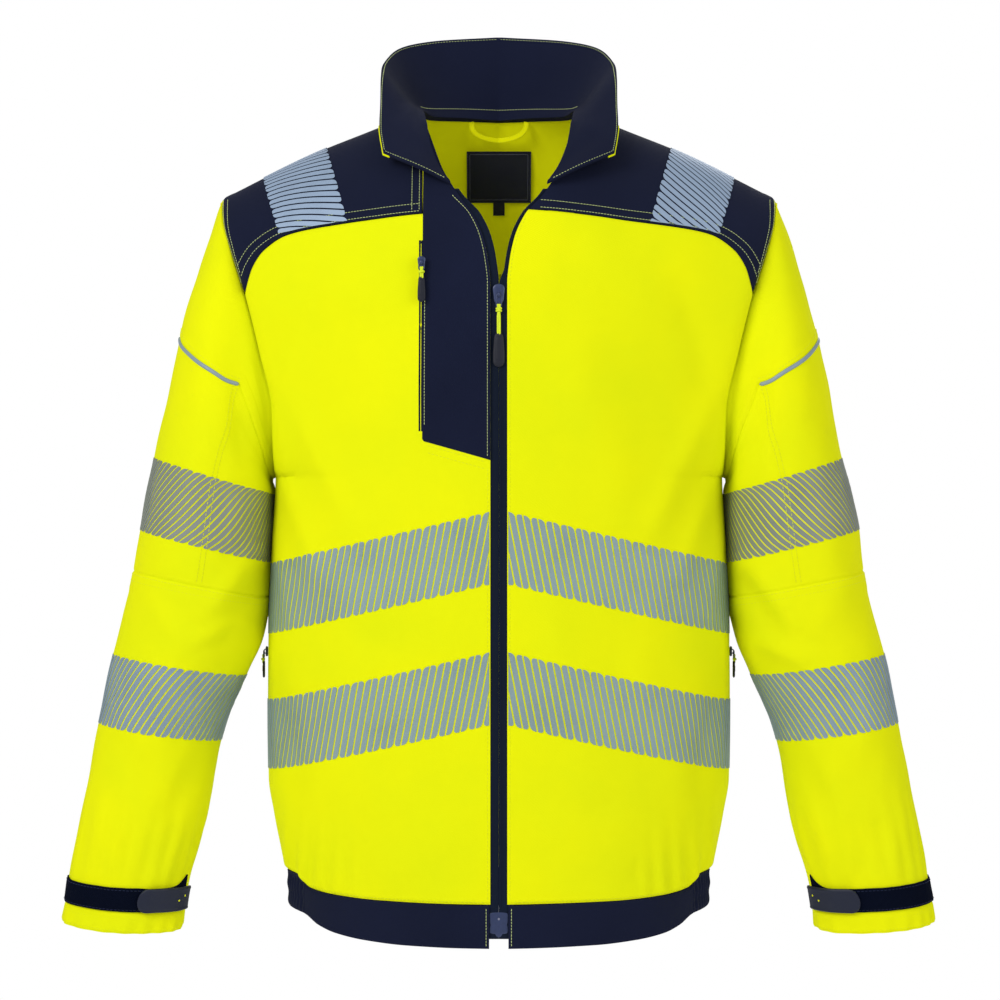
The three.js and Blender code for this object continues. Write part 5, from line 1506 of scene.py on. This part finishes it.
def zip_pull(prefix, pivot, out, bail, cord, grip, grip_half, thick, puller_body, node):
    """The wire ring, knotted cord and grip that hang from a slider's lug at `pivot`. `out` points
    away from the garment; the ring's plane faces it."""
    side = np.cross(out, [0, 0, 1.0])
    down = np.array([0, 0, -1.0])
    turn = np.linspace(0, 2 * np.pi, 48, endpoint=False)
    width = 2.5
    middle = pivot + down * (bail / 2 - 0.4)
    wide = np.sign(np.cos(turn)) * np.abs(np.cos(turn)) ** 0.6 * width * (0.85 + 0.15 * -np.sin(turn))
    loop = middle + side * wide[:, None] + down * (-np.sin(turn) * bail / 2)[:, None]
    ring_tube(f"{prefix}_bail", loop, 0.62, blue_enamel, puller_body, [node], closed=True)
    foot = pivot + down * bail
    t = np.linspace(0, 1, 60)
    for number, offset in enumerate((-0.75, 0.75)):
        spread = offset * (1 - 0.5 * np.exp(-(((t - 0.25) / 0.1) ** 2)))
        reach = cord + 6
        line = foot + down * (t * reach - 3.5)[:, None] + side * spread[:, None]
        line = line + out * (0.3 + 0.3 * np.sin(t * np.pi * 3 + number * np.pi))[:, None]
        ring_tube(f"{prefix}_cord_{number}", line, 0.95, cord_yarn, puller_body, sides=10)
    knot_turn = np.linspace(0, 2 * np.pi, 36, endpoint=False)
    knots = (0.0, 1.7) if cord > 10 else (0.3,)
    for number, below in enumerate(knots):
        centre = foot + down * (below + 0.6)
        knot = (centre + side * (1.9 * np.cos(knot_turn))[:, None]
                + out * (0.7 + 1.0 * np.sin(knot_turn))[:, None]
                + down * (0.35 * np.sin(2 * knot_turn + number))[:, None])
        ring_tube(f"{prefix}_knot_{number}", knot, 0.8, cord_yarn, puller_body,
                  closed=True, sides=10)
    share = close_to_ends(64)
    spine = foot + down * (cord + share * grip)[:, None]
    shape = rounded(share, min(0.5, grip_half / grip), 2.0) * (0.74 + 0.26 * np.clip(share / 0.6, 0, 1))
    ribs = 1 + 0.05 * np.sin(share * grip * 2 * np.pi / 2.4) * np.exp(-(((share - 0.35) / 0.2) ** 4))
    moulded(f"{prefix}_grip", spine, side, out, grip_half * shape,
            thick / 2 * rounded(share, 0.12, 2.2) * ribs,
            dark_rubber, puller_body, power=0.75, sides=24)
    inset_spine = foot + down * (cord + 4 + share * (grip - 9))[:, None] + out * (thick / 2 - 0.25)
    moulded(f"{prefix}_grip_panel", inset_spine, side, out, grip_half * 0.52 * rounded(share, 0.14),
            0.5 * rounded(share, 0.14), dark_rubber, puller_body, power=0.8, sides=20)


def zip_slider(prefix, face, out, low, high, half, body_name, node, lug_h):
    """A shield-shaped plate with soft edges whose top is wider than its foot, and an arched lug."""
    side = np.cross(out, [0, 0, 1.0])
    share = close_to_ends(48)
    spine = face + np.array([0, 0, 1.0]) * mix(low, high, share)[:, None] + out * 0.9
    shape = rounded(share, 0.3, 2.2) * (0.80 + 0.20 * np.clip((share - 0.3) / 0.5, 0, 1))
    moulded(f"{prefix}_plate", spine, side, out, half * shape, 1.05 * rounded(share, 0.2, 2.4), blue_enamel,
            body_name, [node], power=0.62, sides=28)
    turn = np.linspace(-0.5, np.pi + 0.5, 40)
    arch = (face + np.array([0, 0, 1.0]) * (lug_h - np.cos(turn) * 1.9)[:, None]
            + out * (1.7 + 1.55 * np.sin(turn))[:, None])
    heading = np.gradient(arch, axis=0)
    moulded(f"{prefix}_lug", arch, np.broadcast_to(side, arch.shape),
            np.cross(heading, side) / np.linalg.norm(heading, axis=-1, keepdims=True),
            np.full(40, 1.15), np.full(40, 0.5), blue_enamel, body_name, power=0.8, sides=12)


def cad_middle(node):
    """Middle of a CAD node's box, and its two corners, in garment millimetres."""
    low, high = [np.array(c) * 1000 - [0, SIDE_SEAM_Y, -BACK_LENGTH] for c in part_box(node)]
    return (low + high) / 2, low, high


FRONT = np.array([0.0, -1.0, 0.0])
middle, low, high = cad_middle("main_slider")
lug_top = low[1]
face = np.array([0.0, lug_top + 4.1, 0.0])
pivot = np.array([0.0, face[1] - 1.7, low[2] + 8])
zip_slider("main_slider", face, FRONT, low[2], high[2], 5.2, "main_slider", "main_slider", low[2] + 8)
share = close_to_ends(30)
behind = np.array([0, high[1] - 1.0, 0]) + np.array([0, 0, 1.0]) * mix(low[2], high[2], share)[:, None]
moulded("main_slider_back", behind, np.array([1.0, 0, 0]), FRONT, 5.0 * rounded(share, 0.3),
        0.95 * rounded(share, 0.2),
        blue_enamel, "main_slider", power=0.65, sides=24)
share = close_to_ends(16)
neck = mix(np.array([0, face[1] - 0.5, high[2] - 3.4]), np.array([0, high[1] - 0.8, high[2] - 3.4]),
           share[:, None])
moulded("main_slider_neck", neck, np.array([1.0, 0, 0]), np.array([0, 0, 1.0]),
        0.30 * rounded(share, 0.1) + 0.01,
        3.0 * rounded(share, 0.1) + 0.01, blue_enamel, "main_slider", power=0.8, sides=16)
zip_pull("main_pull", pivot, FRONT, 11, 20, 29, 4.9, 2.6, "main_puller", "main_puller")

middle, low, high = cad_middle("zip_retainer_box")
share = close_to_ends(40)
box_line = np.stack([0 * share, np.full(40, middle[1] + 0.05), mix(low[2] + 3, high[2], share)], -1)
box_width = 7.6 * rounded(share, 0.10, 2.6) * (1 - 0.10 * np.exp(-(((share - 0.42) / 0.07) ** 2)))
moulded("zip_box", box_line, np.array([1.0, 0, 0]), FRONT, box_width, 0.5 * rounded(share, 0.10, 2.6),
        blue_enamel,
        nodes=["zip_retainer_box"], power=0.45, sides=32)
share = close_to_ends(24)
stud_line = np.stack([0 * share, np.full(24, middle[1]), mix(low[2], low[2] + 12, share)], -1)
moulded("zip_box_foot", stud_line, np.array([1.0, 0, 0]), FRONT, 3.6 * rounded(share, 0.5),
        0.65 * rounded(share, 0.3),
        blue_enamel, power=0.9, sides=24)
share = close_to_ends(12)
dot = mix(np.array([0, middle[1] - 0.3, high[2] - 5.5]), np.array([0, middle[1] - 0.6, high[2] - 5.5]),
          share[:, None])
moulded("zip_box_rivet", dot, np.array([1.0, 0, 0]), np.array([0, 0, 1.0]), 1.0 * rounded(share, 0.5),
        1.0 * rounded(share, 0.5), grey_yarn, power=1.0, sides=14)

# ---- Chest pocket zip -------------------------------------------------------
# A narrow reverse-coil zip in the seam along the navy panel's outer edge, closed to the top.
CHEST_ZIP_BOTTOM, CHEST_ZIP_TOP = 427.0, 586.0
w, h = np.meshgrid(np.linspace(-6, 6, 25), np.linspace(CHEST_ZIP_BOTTOM, CHEST_ZIP_TOP, 120))
tape_lift = -0.1 + 0.35 * np.exp(-(((np.abs(w - 0.6) - 1.0) / 0.6) ** 2)) - 0.9 * (np.abs(w) > 2.7)
cloth("chest_tape_cloth", body(-(CHEST_POCKET_X + w), h, False, tape_lift),
      body(-(CHEST_POCKET_X + w), h, False, tape_lift - 0.8), zip_weave, flip=True,
      nodes=["chest_zip_tape"])
middle, low, high = cad_middle("chest_slider")
face = np.array([-CHEST_POCKET_X, low[1] + 4.1, 0.0])
pivot = np.array([-CHEST_POCKET_X, face[1] - 1.7, low[2] + 5])
zip_slider("chest_slider", face, FRONT, low[2], high[2], 3.5, "chest_slider", "chest_slider", low[2] + 5)
zip_pull("chest_pull", pivot, FRONT, 7, 4, 22, 3.3, 2.2, "chest_puller", "chest_puller")

# ---- Hand pockets -----------------------------------------------------------
# Zips in both side seams with their sliders facing outwards, over bags of pale pocketing that hang
# behind the fronts.
for side, turn in (("left", 1), ("right", -1)):
    middle, low, high = cad_middle(f"{side}_pocket_zip_tape")
    w, h = np.meshgrid(np.linspace(-4, 4, 17), np.linspace(low[2], high[2], 90))
    ridge = 0.3 * np.exp(-(((np.abs(w) - 0.9) / 0.5) ** 2))
    edge_x = np.full(w.shape, abs(middle[0]) + 0.45)
    outer = np.stack([turn * (edge_x + ridge), w, h], -1)
    inner = np.stack([turn * (edge_x - 0.9), w, h], -1)
    cloth(f"{side}_pocket_tape_cloth", outer, inner, zip_weave, flip=turn < 0,
          nodes=[f"{side}_pocket_zip_tape"])
    bag_x, bag_h = np.meshgrid(np.linspace(92, 186, 40), np.linspace(64, 232, 60))
    cloth(f"{side}_pocket_lining", body(turn * bag_x, bag_h, False, -2.6),
          body(turn * bag_x, bag_h, False, -3.4),
          pocketing, flip=turn < 0, nodes=[f"{side}_pocket_bag"])
    out = np.array([float(turn), 0.0, 0.0])
    middle, low, high = cad_middle(f"{side}_pocket_slider")
    near = low[0] if turn > 0 else high[0]
    face = np.array([near, 0.0, 0.0])
    pivot = np.array([near + turn * 3.5, 0.0, low[2] + 4.5])
    zip_slider(f"{side}_pocket_slider", face, out, low[2], high[2], 3.3, f"{side}_pocket_slider",
               f"{side}_pocket_slider", low[2] + 4.5)
    zip_pull(f"{side}_pocket_pull", pivot, out, 6, 2, 15, 4.2, 2.0,
             f"{side}_pocket_puller", f"{side}_pocket_puller")
